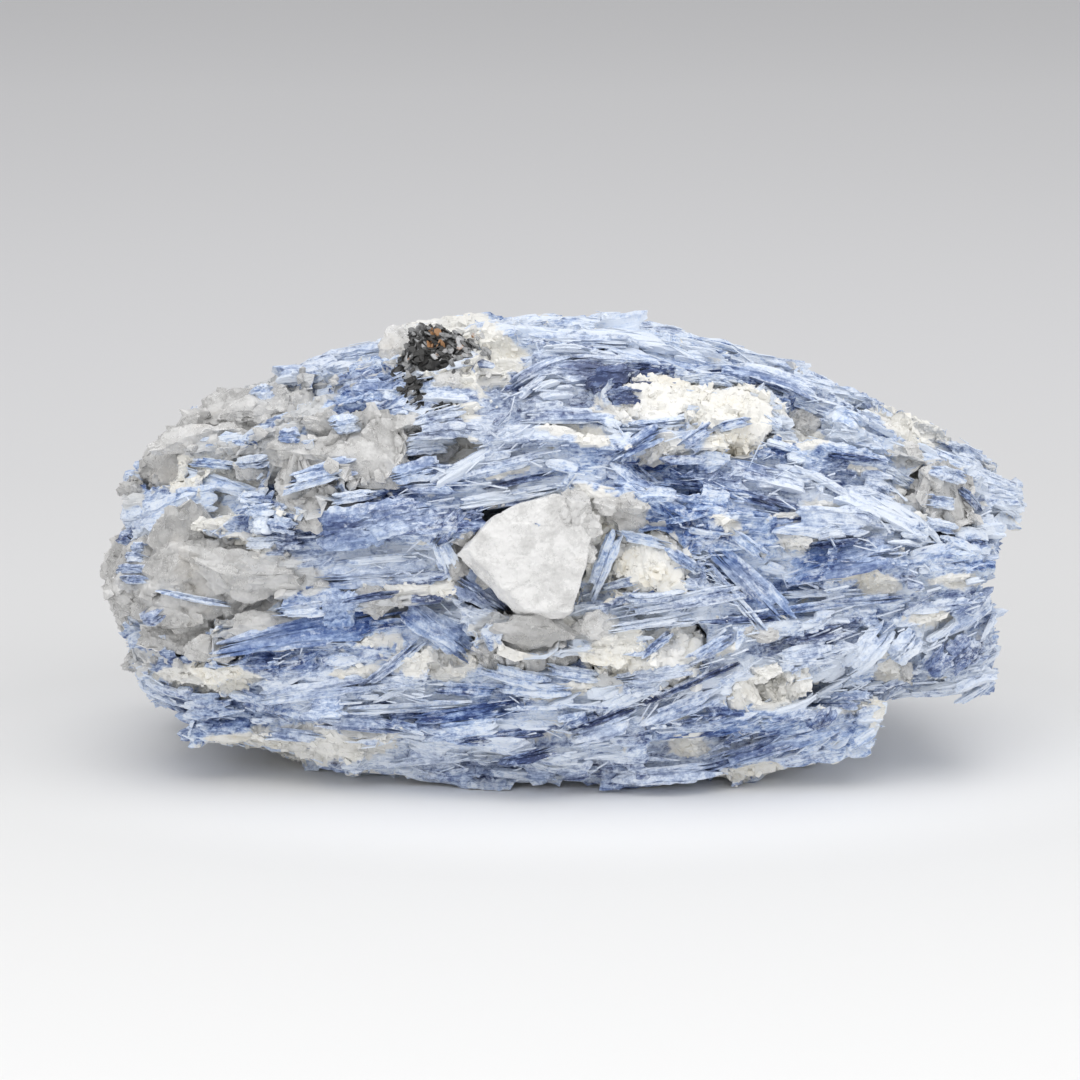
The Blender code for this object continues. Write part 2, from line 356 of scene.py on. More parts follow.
def attribute(made, name, values):
    """Stores a number or a vector for each vertex, for the materials to read."""
    kind, socket = ("FLOAT", "value") if values.ndim == 1 else ("FLOAT_VECTOR", "vector")
    layer = made.data.attributes.new(name, kind, "POINT")
    layer.data.foreach_set(socket, values.astype(np.float32).ravel())


def bvh(*pieces):
    """One search tree over all the pieces' faces, for finding the ground and casting rays."""
    places, faces, first = [], [], 0
    for made in pieces:
        places += [tuple(place) for place in read(made.data)]
        faces += [tuple(corner + first for corner in face.vertices) for face in made.data.polygons]
        first = len(places)
    return BVHTree.FromPolygons(places, faces)


print("a piece may stand", BOX_SLACK / MM, "mm outside the frame")


# %% Modifiers and remeshing
def settled(made):
    """The object with its modifiers applied to its mesh."""
    bpy.context.view_layer.update()
    final = bpy.data.meshes.new_from_object(made.evaluated_get(bpy.context.evaluated_depsgraph_get()))
    made.modifiers.clear()
    made.data = final
    return made


def modified(made, kind, **settings):
    """The object with one modifier put on it and applied."""
    modifier = made.modifiers.new(kind.lower(), kind)
    for name, value in settings.items():
        setattr(modifier, name, value)
    return settled(made)


def remeshed(name, node_names, voxel):
    """One closed mesh of small quads round copies of those CAD nodes."""
    bm = bmesh.new()
    for node_name in node_names:
        bm.from_mesh(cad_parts[node_name].data)
    bmesh.ops.remove_doubles(bm, verts=bm.verts, dist=0.01 * MM)
    return modified(from_bmesh(name, bm), "REMESH", mode="VOXEL", voxel_size=voxel)


most_faces = max(len(node.data.polygons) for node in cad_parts.values())
print("the finest solid of the frame has", most_faces, "faces")

# %% [markdown]
# ## Spots on the front
# The named blades and grains of the front are given as they are seen. A ray from the camera finds the place
# on the skin, so a spot lies on the stone from every side and not on a card that faces the camera.


# %% Spots
def aimed(u, v):
    """Where u to the right and v above the foot lie, in mm, on a plane across the view."""
    return VIEW_TARGET + view_right * (u * MM + VIEW_FOOT.x) + view_up * (v * MM + VIEW_FOOT.y)


def spot(u, v, surface):
    """(place, normal) on the surface at u and v."""
    aim = aimed(u, v)
    place, normal, _, _ = surface.ray_cast(camera.location, (aim - camera.location).normalized())
    if place is None:
        place, normal, _, _ = surface.find_nearest(aim)
    return place, normal


def seen_at(points):
    """Where the points are seen: u and v in mm, for each."""
    away = points - np.array(camera.location)
    depth = -(away @ np.array(view_back)) / VIEW_DISTANCE
    u = (away @ np.array(view_right)) / depth - VIEW_FOOT.x
    v = (away @ np.array(view_up)) / depth - VIEW_FOOT.y
    return u / MM, v / MM


def patch_weights(points, normals, patches):
    """How much each patch (u, v, half length, half height, turn, ...) covers each point, from 0 to 1."""
    u, v = seen_at(points)
    faces_us = np.clip((normals @ np.array(view_back)) * 4 + 0.6, 0, 1)
    weights = []
    for middle_u, middle_v, half_u, half_v, turn, *_ in patches:
        c, s = math.cos(math.radians(turn)), math.sin(math.radians(turn))
        du, dv = u - middle_u, v - middle_v
        reach = ((du * c + dv * s) / half_u) ** 2 + ((dv * c - du * s) / half_v) ** 2
        weights.append(np.exp(-(reach**2)) * faces_us)
    return np.array(weights)


middle_seen = seen_at(np.array([(cad_low + cad_high) / 2]))
print("the middle of the frame's box is seen at", [round(float(side[0]), 1) for side in middle_seen])

# %% [markdown]
# ## Tone
# Kyanite is blue where it is thick and fresh, and almost white where it is thin, bruised or fibrous. One
# number says which, from 0, white, to 1, indigo. It changes slowly along the blades and fast across them.

# %% Tone
TONE_MEAN = 0.31
TONE_BANDS = (  # size along and across, strength
    (np.array((50, 11, 11)) * MM, 0.44),
    (np.array((16, 4, 4)) * MM, 0.44),
)
TONE_PATCHES = (  # u, v, half length, half height, turn, change of tone
    (-38, 60, 16, 6, 0, 0.18),
    (-33, 70, 7, 4, 0, 0.21),
    (-34, 42, 8, 10, 15, 0.24),
    (-25, 15, 26, 4, 4, 0.26),
    (-80, 17, 15, 6, -4, 0.16),
    (-55, 9, 25, 4, 0, -0.14),
    (14, 90.5, 13, 4.2, -4, 1.05),
    (38, 90, 15, 3.2, -14, 0.34),
    (19, 76, 11, 5, 10, 0.33),
    (34, 82, 7, 3, -8, 0.39),
    (34, 66, 20, 5, -14, 0.28),
    (60, 51, 12, 5, 8, 0.26),
    (60, 35, 18, 4, 10, 0.24),
    (72, 74, 10, 3, -10, 0.20),
    (52, 94, 22, 5, -22, -0.12),
    (66, 79, 14, 6, -26, -0.24),
    (44, 62, 30, 20, -10, -0.04),
    (73, 40, 13, 7, 0, -0.24),
    (-28, 75, 9, 5, 0, -0.22),
    (84, 66, 14, 12, -28, -0.18),
    # This patch is painted light: a paler tone that lifts the shade on the stone's right end.
    (96, 62, 7, 7, 0, -0.28),
    (56, 58, 26, 12, -10, -0.08),
    (40, 98, 40, 8, -14, -0.10),
    (74, 33, 12, 8, 0, -0.22),
    (62, 22, 20, 6, 10, -0.14),
    (-66, 22, 26, 8, 0, -0.10),
    (25, 50, 16, 6, -20, -0.08),
    (10, 100, 30, 4, -3, -0.10),
    (-2, 103, 14, 3, 0, -0.26),
    (-14, 76, 12, 7, 0, -0.14),
    (-12, 88, 10, 8, 60, 0.15),
    (6, 52, 10, 12, -40, -0.14),
    (12, 26, 16, 7, 0, -0.22),
    (-12, 28, 12, 6, 0, -0.12),
    (40, 24, 14, 8, 10, -0.14),
    (48, 10, 14, 6, 18, 0.08),
    (-80, 72, 12, 5, -10, -0.26),
    (-78, 38, 20, 8, 0, -0.06),
)


def tone_at(points, normals):
    straight = straighten(points)
    tone = TONE_MEAN + sum(
        strength * field(straight, size, seed) for seed, (size, strength) in enumerate(TONE_BANDS)
    )
    changes = np.array([patch[-1] for patch in TONE_PATCHES])
    return tone + changes @ patch_weights(points, normals, TONE_PATCHES)


print(len(TONE_PATCHES), "patches of tone")

# %% [markdown]
# ## Where the other minerals show
# Between the blades lie crusts of sugary feldspar and lumps of quartz. On the front their places are given
# one by one. On the other sides a smooth noise decides, and leaves about as much of each as the front has.

# %% Crusts and lumps
CRUSTS = (  # u, v, half length, half height, turn
    (25, 85, 17, 4.6, 2),
    (21, 75, 5.5, 3.4, 0),
    (6, 77.5, 3.5, 2.4, 0),
    (36, 76, 5.5, 3.0, 0),
    (53, 77, 4, 2.2, 0),
    (76, 80, 8, 3.6, -30),
    (80, 64, 7.5, 4.6, -20),
    (56, 62, 5, 1.5, 0),
    (51, 56, 5, 3.2, 0),
    (69, 45, 5, 2.2, 0),
    (15, 49, 9, 5, 30),
    (14, 29.5, 9.5, 5, 4),
    (26, 33.5, 4, 2.8, 0),
    (45, 22, 6, 4, 0),
    (27, 10, 4.5, 2.6, 0),
    (-29, 28, 8, 3.4, -4),
    (-78, 25, 11, 3, -4),
    (-59, 10, 22, 4.2, 3),
    (-79, 58, 4, 2, 0),
    (-70, 54, 7.5, 2.2, -6),
    (-23, 97, 13, 9, -20),
    (-80, 69, 13, 4, -4),
    (71, 27, 2.4, 3.4, 0),
    (4, 58, 9, 8, -50),
    (-12, 31, 5, 3, 0),
    (-77, 61, 4.5, 2.6, -10),
    (-25, 75, 6, 3, 5),
    (48, 77.4, 4.5, 1.6, 0),
    (-1, 79.5, 4, 1.6, 0),
    (-25, 82, 6, 2.4, 10),
    (-13, 70, 5, 1.2, 10),
    (20, 57, 5, 1.3, -30),
    (36, 58, 4, 1.2, -30),
    (62, 47.5, 6, 1.2, 5),
    (66, 70, 5, 1.3, -15),
    (86, 46, 5, 1.5, 0),
    (80, 38, 5, 1.4, 0),
    (0, 22, 7, 1.5, 10),
    (-45, 26, 6, 1.4, 5),
    (-40, 33, 5, 1.3, 8),
    (32, 30, 6, 1.4, 20),
    (60, 18, 6, 1.2, 10),
    (40, 4, 9, 1.5, 12),
)
LUMPS = (
    (-82, 54.5, 8, 8, 0),
    (-68, 47, 15, 5, -6),
    (-85, 38.5, 5.5, 3.6, 0),
    (-65, 35, 12, 4, 4),
    (-95, 44, 6, 3.5, 0),
    (-95, 65, 3, 3, 0),
    (-94, 28, 3.4, 2.8, 0),
    (-70, 81, 20, 9, 18),
    (-82, 77, 10, 4, 10),
    (-54, 74, 9, 4, 0),
    (-52, 61.5, 8, 5.5, 0),
    (-42, 70, 8, 6, 0),
    (-40, 42, 6.5, 4, 0),
    (-9, 35, 11, 4.6, 0),
    (6, 36, 5, 3.2, 0),
    (3, 62, 4, 3.4, 0),
    (12, 60, 6, 5, 0),
    (52, 80.5, 3.5, 3, 0),
    (75, 74, 3.2, 3.2, 0),
    (80, 69, 3.4, 2.2, 0),
)
FAR_CRUSTS = (np.array((22, 9, 9)) * MM, 0.27)  # size of the noise in which they lie, and how high they start
FAR_LUMPS = (np.array((30, 15, 15)) * MM, 0.31)


def smoothstep(values, low, high):
    share = np.clip((values - low) / (high - low), 0, 1)
    return share * share * (3 - 2 * share)


def shares_at(points, normals):
    """How much of the surface at each point is crust, and how much is quartz, from 0 to 1."""
    straight = straighten(points)
    ragged = field(straight, np.array((5, 3, 3)) * MM, 21)
    ragged += 0.6 * field(straight, np.array((2, 1.2, 1.2)) * MM, 22)
    far = smoothstep(-(normals @ np.array(view_back)), -0.15, 0.2)
    shares = []
    for seed, (patches, (size, start)) in enumerate(((CRUSTS, FAR_CRUSTS), (LUMPS, FAR_LUMPS))):
        near = patch_weights(points, normals, patches).max(0)
        behind = (field(straight, size, 30 + seed) - start) * 4 - 2 * (1 - far)
        shares.append(smoothstep(np.maximum(near - 0.34, behind) + 0.42 * ragged, -0.10, 0.12))
    return shares


print(len(CRUSTS), "crusts and", len(LUMPS), "lumps on the front")

# %% [markdown]
# ## Skin of the blade mass
# Kyanite splits into laths, so the skin is grooved in steps and not in waves: the straightened coordinates
# are cut into long cells, and each cell gets a height of its own. Three sizes of cell lie on top of one
# another. A decimation then takes the quads that lie flat, and leaves more of the mesh for the steps.

# %% Skin
SKIN_VOXEL = 0.85 * MM
SKIN_KEEP = 0.52  # the share of the triangles that the decimation leaves
SKIN_SINK = 0.3 * MM  # the skin lies this far under the frame's surface, and the laths fill it up
SKIN_STEPS = (  # cell size along and across, height
    (np.array((26, 6, 6)) * MM, 1.5 * MM),
    (np.array((10, 2.6, 2.6)) * MM, 1.0 * MM),
    (np.array((5, 1.2, 1.2)) * MM, 0.6 * MM),
)
FELDSPAR_NODES = [name for name in sorted(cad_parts) if name.startswith("feldspar")]


def cell_heights(points, size, seed):
    """A height from -0.5 to 0.5 that is the same all over each long cell."""
    heights = []
    for place in (points / size + seed * 3.7).tolist():
        _, centres = noise.voronoi(place)
        heights.append(noise.cell(centres[0] * 9.7) - 0.5)
    return np.array(heights)


def corner_mean(mesh, values):
    """The values of the vertices, averaged over each face."""
    return np.array([values[list(face.vertices)].mean(0) for face in mesh.polygons])


body = remeshed("body", ["kyanite_blade_mass", *FELDSPAR_NODES], 1.5 * MM)
modified(body, "SMOOTH", iterations=12)
body_tree = bvh(body)
body_normals = unit(corner_mean(body.data, normals_of(body.data)))
bpy.data.objects.remove(body)
skin = remeshed("kyanite_skin", ["kyanite_blade_mass"], SKIN_VOXEL)
skin_straight = straighten(read(skin.data))
skin_height = sum(step * cell_heights(skin_straight, size, i) for i, (size, step) in enumerate(SKIN_STEPS))
raised(skin, skin_height - SKIN_SINK)
modified(skin, "DECIMATE", ratio=SKIN_KEEP)
write(skin, read(skin.data))
skin_points, skin_normals = read(skin.data), normals_of(skin.data)
skin_crust, skin_quartz = shares_at(skin_points, skin_normals)
for name, values in (
    ("grain", straighten(skin_points)),
    ("sheaf", straighten(skin_points)),
    ("tone", tone_at(skin_points, skin_normals)),
    ("crust", skin_crust),
    ("quartz", skin_quartz),
):
    attribute(skin, name, values)
skin.data.shade_flat()
print("skin", sum(len(face.vertices) - 2 for face in skin.data.polygons), "triangles")

# %% [markdown]
# ## Laths
# A lath is a thin stack of flat strips that broke off at different lengths. It starts as a grid, whose edge
# is drawn down into walls and closed underneath. The rows then move into pairs, so that each strip stays
# flat and steps to the next, and every strip ends somewhere else. A few of these serve for thousands of
# blades.

# %% A lath
PINCH = 0.6  # how much each strip narrows at its ends
SPLIT = 0.012  # half the crack between two strips
WANDER = 0.06  # how far the edges of the strips stray
RIM_DROP, TIP_DROP = 0.16, 0.3  # how much lower the outer edges and the tips lie
RIMS = {"edge": 1.0, "inside": 0.12, "foot": 0.7}
LATH_KINDS = (  # name, how many, then strips, slices, point, steps and dive
    ("broad", 10, 6, 7, 0.14, 0.3, 0.5),
    ("narrow", 12, 2, 4, 0.25, 0.3, 0.6),
    ("splinter", 10, 1, 2, 0.45, 0.3, 0.5),
    ("slab", 12, 9, 10, 0.03, 0.24, 0.15),
)


def lath(rng, strips, slices, point, steps, dive):
    """A unit blade: 1 long on X, 1 wide on Y, 1 thick on Z, and a number for how near its rim a vertex is.

    point narrows the whole blade, steps is how far the strips differ in height, and dive is how far the two
    ends bend down into the stone.
    """
    bm = bmesh.new()
    bmesh.ops.create_grid(bm, x_segments=slices, y_segments=2 * strips - 1, size=0.5)
    walls = bmesh.ops.extrude_edge_only(bm, edges=[edge for edge in bm.edges if edge.is_boundary])
    foot = [part for part in walls["geom"] if isinstance(part, bmesh.types.BMVert)]
    bmesh.ops.translate(bm, vec=(0, 0, -1), verts=foot)
    bmesh.ops.holes_fill(bm, edges=[edge for edge in bm.edges if edge.is_boundary], sides=0)
    bmesh.ops.recalc_face_normals(bm, faces=bm.faces)
    borders = np.concatenate(([-0.5], np.sort(rng.uniform(-0.4, 0.4, strips - 1)), [0.5]))
    heights = rng.uniform(-steps, 0.0, strips)
    starts, ends = rng.uniform(0, 0.3, strips), rng.uniform(0, 0.3, strips)
    bow, twist, taper = rng.uniform(-dive, 0), rng.uniform(-0.3, 0.3), rng.uniform(0, point, 2)
    columns = np.interp(np.linspace(0, 1, slices + 1), (0, 1 / slices, 1 - 1 / slices, 1), (0, 0.09, 0.91, 1))
    columns[1:-1] += rng.uniform(-0.3, 0.3, slices - 1) / slices * (slices > 2)
    wander = rng.uniform(-WANDER, WANDER, (slices + 1, 2 * strips))
    rim = bm.verts.layers.float.new("rim")
    for vert in bm.verts:
        row = round((vert.co.y + 0.5) * (2 * strips - 1))
        column = round((vert.co.x + 0.5) * slices)
        strip, far_side = divmod(row, 2)
        place = columns[column]
        tip = abs(2 * place - 1) ** 8
        outer = row in (0, 2 * strips - 1) or column in (0, slices)
        x = place - 0.5 + starts[strip] * (1 - place) ** 3 - ends[strip] * place**3
        strip_middle = (borders[strip] + borders[strip + 1]) / 2
        y = borders[strip + far_side] + (SPLIT if far_side == 0 else -SPLIT) + wander[column, row]
        y = strip_middle + (y - strip_middle) * (1 - PINCH * tip)
        narrow = taper[0] * (1 - place) ** 2 + taper[1] * place**2
        z = 0.5 + heights[strip] - (RIM_DROP if outer else 0) - TIP_DROP * tip
        z += bow * (2 * x) ** 2 + twist * x * y
        z += wander[column, row - 1] * 1.5
        on_top = vert.co.z > -0.5
        vert.co = Vector((x, y * (1 - 2 * narrow), z)) if on_top else Vector((x * 0.9, y * 0.7, -0.8))
        vert[rim] = RIMS["foot" if not on_top else "edge" if outer else "inside"]
    return bm


def template(bm):
    """The bmesh as arrays, which can be stamped out many times: places, rims, face corners, face sizes."""
    bm.verts.ensure_lookup_table()
    rim = bm.verts.layers.float.get("rim")
    made = {
        "places": np.array([vert.co for vert in bm.verts]),
        "rims": np.array([vert[rim] if rim else 0.0 for vert in bm.verts]),
        "corners": np.array([vert.index for face in bm.faces for vert in face.verts]),
        "sizes": np.array([len(face.verts) for face in bm.faces]),
    }
    bm.free()
    return made


lath_rng = np.random.default_rng(20)
LATHS = {}
for title, number, *shape in LATH_KINDS:
    LATHS[title] = [template(lath(lath_rng, *shape)) for _ in range(number)]
    print(title, "lath:", int((LATHS[title][0]["sizes"] - 2).sum()), "triangles")

# %% [markdown]
# ## Stamping
# Thousands of separate objects would be slow, and instances are lost when the model is exported. So the
# copies of each template are joined into one mesh as they are placed. Each copy is stretched to its own
# length, width and thickness, turned to lie along the flow, and carries its own tone and its own stretch of
# grain. A broad lath is also calm: its streaks are fainter, as on a clean cleavage face.


# %% Stamping
def stamped(name, kinds, stamps, in_flow=False):
    """One mesh of many copies. stamps holds arrays: middle, along, facing, size, sag of the ends, tone, and
    where it is wanted wedge, how much wider one end is than the other, and calm.

    in_flow adds the tone of the body at every vertex, so that neighbours match and only relief parts them.
    """
    count = len(stamps["middle"])
    along = unit(stamps["along"])
    across = unit(np.cross(stamps["facing"], along))
    turns = np.stack((along, across, np.cross(along, across)), 2)
    offsets = np.random.default_rng(count).uniform(-1, 1, (count, 3))
    parts, first = {key: [] for key in ("co", "grain", "tone", "rim", "calm", "corners", "sizes")}, 0
    calm = stamps.get("calm", np.zeros(count))
    for which, kind in enumerate(kinds):
        chosen = np.arange(which, count, len(kinds))
        local = kind["places"][None] * stamps["size"][chosen][:, None]
        local[..., 2] += stamps["sag"][chosen][:, None] * (2 * kind["places"][None, :, 0]) ** 2
        if "wedge" in stamps:
            local[..., 1] *= 1 + stamps["wedge"][chosen][:, None] * kind["places"][None, :, 0]
        placed = np.einsum("nij,nvj->nvi", turns[chosen], local) + stamps["middle"][chosen][:, None]
        vertices = len(kind["places"])
        parts["co"].append(placed.reshape(-1, 3))
        parts["grain"].append((local + offsets[chosen][:, None]).reshape(-1, 3))
        parts["tone"].append(np.repeat(stamps["tone"][chosen], vertices))
        parts["rim"].append(np.tile(kind["rims"], len(chosen)))
        parts["calm"].append(np.repeat(calm[chosen], vertices))
        starts = first + vertices * np.arange(len(chosen))
        parts["corners"].append((kind["corners"][None] + starts[:, None]).ravel())
        parts["sizes"].append(np.tile(kind["sizes"], len(chosen)))
        first += vertices * len(chosen)
    whole = {key: np.concatenate(value) for key, value in parts.items()}
    mesh = bpy.data.meshes.new(name)
    mesh.vertices.add(len(whole["co"]))
    mesh.loops.add(len(whole["corners"]))
    mesh.polygons.add(len(whole["sizes"]))
    mesh.loops.foreach_set("vertex_index", whole["corners"].astype(np.int32))
    face_starts = np.concatenate(([0], np.cumsum(whole["sizes"])[:-1]))
    mesh.polygons.foreach_set("loop_start", face_starts.astype(np.int32))
    made = link(name, mesh)
    write(made, whole["co"])
    mesh.validate()
    if in_flow:
        whole["tone"] += tone_at(whole["co"], np.tile(np.array(view_back), (len(whole["co"]), 1)))
        attribute(made, "sheaf", straighten(whole["co"]))
    for key in ("grain", "tone", "rim", "calm"):
        attribute(made, key, whole[key])
    mesh.shade_flat()
    print(name, count, "copies,", int((whole["sizes"] - 2).sum()), "triangles")
    return made


def stamps_of(rows):
    """Stamps from one dictionary for each copy."""
    return {key: np.array([row[key] for row in rows]) for key in rows[0]}


def joined(groups):
    return {key: np.concatenate([group[key] for group in groups]) for key in groups[0]}


def kept(stamps, keep):
    return {key: value[keep] for key, value in stamps.items()}


# %% [markdown]
# ## Chips
# Quartz breaks into angular chips, and feldspar cleaves into little blocks. A chip is an icosphere, or a
# cube, whose corners are pushed about, with a convex hull drawn round them, which keeps every face flat. A
# dozen of each serve for all the grains.

# %% Chips
CHIP_SPREAD = 0.22  # how much the corners' distances from the middle differ
CHIP_STRAY = 0.12  # and how far they are pushed about
BOULDER_CUTS = 9
BOULDER_REACH = (0.32, 0.46)  # how near its middle the cuts go
BOULDER_FACETS = ((0.42, 0.3), (0.2, 0.42), (0.09, 0.4))  # cell size, steepness


def chip(rng, blocky=False):
    bm = bmesh.new()
    if blocky:
        bmesh.ops.create_cube(bm, size=0.75)
    else:
        bmesh.ops.create_icosphere(bm, subdivisions=1, radius=0.5)
    for vert in bm.verts:
        longer = rng.uniform(1 - CHIP_SPREAD, 1 + CHIP_SPREAD)
        vert.co = vert.co * longer + Vector(rng.uniform(-CHIP_STRAY, CHIP_STRAY, 3))
    bmesh.ops.delete(bm, geom=bm.edges[:], context="EDGES_FACES")
    return hull(bm)


def hull(bm):
    """The bmesh as the hull round its vertices."""
    bmesh.ops.convex_hull(bm, input=bm.verts)
    bmesh.ops.delete(bm, geom=[vert for vert in bm.verts if not vert.link_faces], context="VERTS")
    bmesh.ops.recalc_face_normals(bm, faces=bm.faces)
    return bm


def facet_heights(points, size, steepness):
    """Heights that make each cell one plane with a tilt of its own."""
    heights = []
    for place in (points / size).tolist():
        _, centres = noise.voronoi(place)
        centre = centres[0]
        tilt = noise.cell_vector(centre * 11.3) * 2 - Vector((1, 1, 1))
        step = noise.cell(centre * 5.9) - 0.5
        heights.append(tilt.dot(Vector(place) - centre) + 0.5 * step)
    return np.array(heights) * size * steepness


def relief(points, facets):
    """The heights of facets of several sizes, laid over one another."""
    return sum(facet_heights(points, size, steepness) for size, steepness in facets)


def boulder(rng):
    """A larger grain: a finer icosphere, cut by a few planes and then broken into facets."""
    bm = bmesh.new()
    bmesh.ops.create_icosphere(bm, subdivisions=4, radius=0.6)
    for _ in range(BOULDER_CUTS):
        facing = Vector(rng.normal(0, 1, 3)).normalized()
        reach = rng.uniform(*BOULDER_REACH)
        for vert in bm.verts:
            over = vert.co.dot(facing) - reach
            if over > 0:
                vert.co -= facing * over
    places = np.array([vert.co for vert in bm.verts]) + rng.uniform(3, 9, 3)
    for vert, height in zip(bm.verts, relief(places, BOULDER_FACETS)):
        vert.co *= 1 + height
    return bm


chip_rng = np.random.default_rng(7)
CRUMBS = [template(chip(chip_rng, blocky=True)) for _ in range(12)]
SHARDS = [template(chip(chip_rng)) for _ in range(12)]
BOULDERS = [template(boulder(chip_rng)) for _ in range(10)]
print("a crumb:", int((CRUMBS[0]["sizes"] - 2).sum()), "triangles")


# %% Where chips lie
def seeds(rng, pieces, count, weights=1):
    """Places and normals that fall on the pieces' faces, by area and weight."""
    chances = weights * np.concatenate([read(made.data, "polygons", "area", 1)[:, 0] for made in pieces])
    faces = rng.choice(len(chances), count, p=chances / chances.sum())
    centres = np.concatenate([read(made.data, "polygons", "center") for made in pieces])
    normals = np.concatenate([read(made.data, "polygons", "normal") for made in pieces])
    return centres[faces], normals[faces]


def chips_on(rng, pieces, count, weights, width, lift, slant=0.5):
    """Stamps for chips on the pieces' faces. width is the least and most in mm, and most are small."""
    places, normals = seeds(rng, pieces, count, weights)
    facing = unit(normals + rng.normal(0, slant, (count, 3)))
    widths = (width[0] + (width[1] - width[0]) * rng.uniform(0, 1, count) ** 2.5) * MM
    shape = np.stack((rng.uniform(1, 1.7, count), np.ones(count), rng.uniform(0.6, 1, count)), 1)
    return {
        "middle": places + normals * (widths * lift)[:, None],
        "along": unit(np.cross(facing, rng.normal(0, 1, (count, 3)))),
        "facing": facing,
        "size": widths[:, None] * shape,
        "sag": np.zeros(count),
        "tone": rng.uniform(0, 1, count),
    }


print("the skin has", len(skin.data.polygons), "faces for seeds to fall on")

# %% [markdown]
# ## Rough quartz
# The lumps of quartz broke off unevenly, in small slanting facets. Each solid of the frame is wrapped in
# fine quads, its surface is cut into cells, and every cell is tilted its own way, so that it turns into a
# facet. Loose chips then break up the outline and hide the gap to the blades.

# %% Facets
FACETS = ((9.0 * MM, 0.16), (4.2 * MM, 0.22), (1.5 * MM, 0.17))  # cell size, steepness
SHARP_FROM = math.radians(38)
LUMP_SWELL = 0.9 * MM
FLUSH = {  # how far the lumps that lie level with the blades may stand out of them
    "quartz_below_crystal": 1.0 * MM, "quartz_left_middle": 1.2 * MM, "quartz_right_end": 0.8 * MM,
}
GRAIN_VOXEL = 0.62 * MM
QUARTZ_NODES = [name for name in sorted(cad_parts) if name.startswith("quartz") and "front" not in name]


def pressed(points, limit):
    """The points, with those that stand further out of the body than the limit drawn back to it."""
    for i, point in enumerate(points):
        ground, _, face, _ = body_tree.find_nearest(Vector(point))
        above = (point - np.array(ground)) @ body_normals[face]
        if above > limit:
            points[i] = point - body_normals[face] * (above - limit)
    return points


def broken(name, node_names, facets, swell, limit=None):
    """A grain with a broken surface in the place of the CAD nodes."""
    made = remeshed(name, node_names, GRAIN_VOXEL)
    points, normals = read(made.data), normals_of(made.data)
    heights = swell + relief(points, facets)
    if limit is not None:
        points = pressed(points + normals * swell, limit)
        heights -= swell
    write(made, points + normals * heights[:, None])
    attribute(made, "tone", 0.5 + field(points, 9 * MM, 3))
    made.data.set_sharp_from_angle(angle=SHARP_FROM)
    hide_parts(*node_names)
    return made


rough_quartz = [broken("rough_" + name, [name], FACETS, LUMP_SWELL, FLUSH.get(name)) for name in QUARTZ_NODES]
for made in rough_quartz:
    print(made.name, len(made.data.polygons), "quads")

# %% Quartz chips
RIM_REACH = 1.7 * MM  # how far from a grain its socket's rim reaches
LUMP_CHIPS = 0.11  # chips on each square millimetre of a lump


def near(points, trees, reach):
    """True for the points that have a face of one of the trees within reach."""
    return np.array([
        any(tree.find_nearest(Vector(point), reach)[0] is not None for tree in trees) for point in points
    ])


def node_trees(names):
    return [bvh(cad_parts[name]) for name in names]


face_crust = corner_mean(skin.data, skin_crust)
face_quartz = corner_mean(skin.data, skin_quartz)
skin_centres = read(skin.data, "polygons", "center")
quartz_rims = near(skin_centres, node_trees([*QUARTZ_NODES, "quartz_crystal_front"]), RIM_REACH)
sugar_rims = near(skin_centres, node_trees(FELDSPAR_NODES), RIM_REACH)
chip_rng = np.random.default_rng(8)
quartz_stamps = [chips_on(chip_rng, [skin], 1500, face_quartz**2 + 0.5 * quartz_rims, (0.7, 2.8), -0.15)]
for made in rough_quartz:
    number = int(LUMP_CHIPS * read(made.data, "polygons", "area", 1).sum() / MM**2)
    quartz_stamps.append(chips_on(chip_rng, [made], number, 1, (0.8, 3.4), -0.30))
print(sum(len(group["middle"]) for group in quartz_stamps), "chips on the skin and the lumps")

# %% [markdown]
# ## The crystal on the front
# One grain of quartz grew free: a flat milky facet looks out of the front, with a narrow side at its lower
# left. Its outline is given as it is seen, on a plane that leans back a little. A convex hull joins it to a
# wider outline deeper down, and a bevel takes the edge off.

# %% The crystal on the front
CRYSTAL_OUTLINE = (  # u and v round the facet
    (-22, 53.1), (-15, 60.6), (-9.9, 63.2), (-1.9, 65.2), (4, 63),
    (6.6, 57), (4.3, 47.2), (1.6, 38.9), (-8.6, 39.6),
)
CRYSTAL_MIDDLE = Vector((-8, -54.9, 51)) * MM
CRYSTAL_FACING = Vector((-0.08, -0.98, 0.12)).normalized()
CRYSTAL_DEPTH = 16 * MM
CRYSTAL_FACETS = ((9 * MM, 0.022), (4 * MM, 0.04), (1.6 * MM, 0.06))
CRYSTAL_SHIFT = Vector((-2.0, 0, -1.6)) * MM  # the deeper outline lies this far to the lower left
CRYSTAL_VOXEL = 0.42 * MM
CRYSTAL_DENTS = (0.35 * MM, 3.5 * MM)  # how deep, and how far across
CRYSTAL_BED = -2.6 * MM  # the rough quartz that it grew from lies this much lower than the frame's solid


def on_plane(u, v, middle, facing):
    """The place on the plane that is seen at u and v."""
    ray = (aimed(u, v) - camera.location).normalized()
    return camera.location + ray * ((middle - camera.location).dot(facing) / ray.dot(facing))


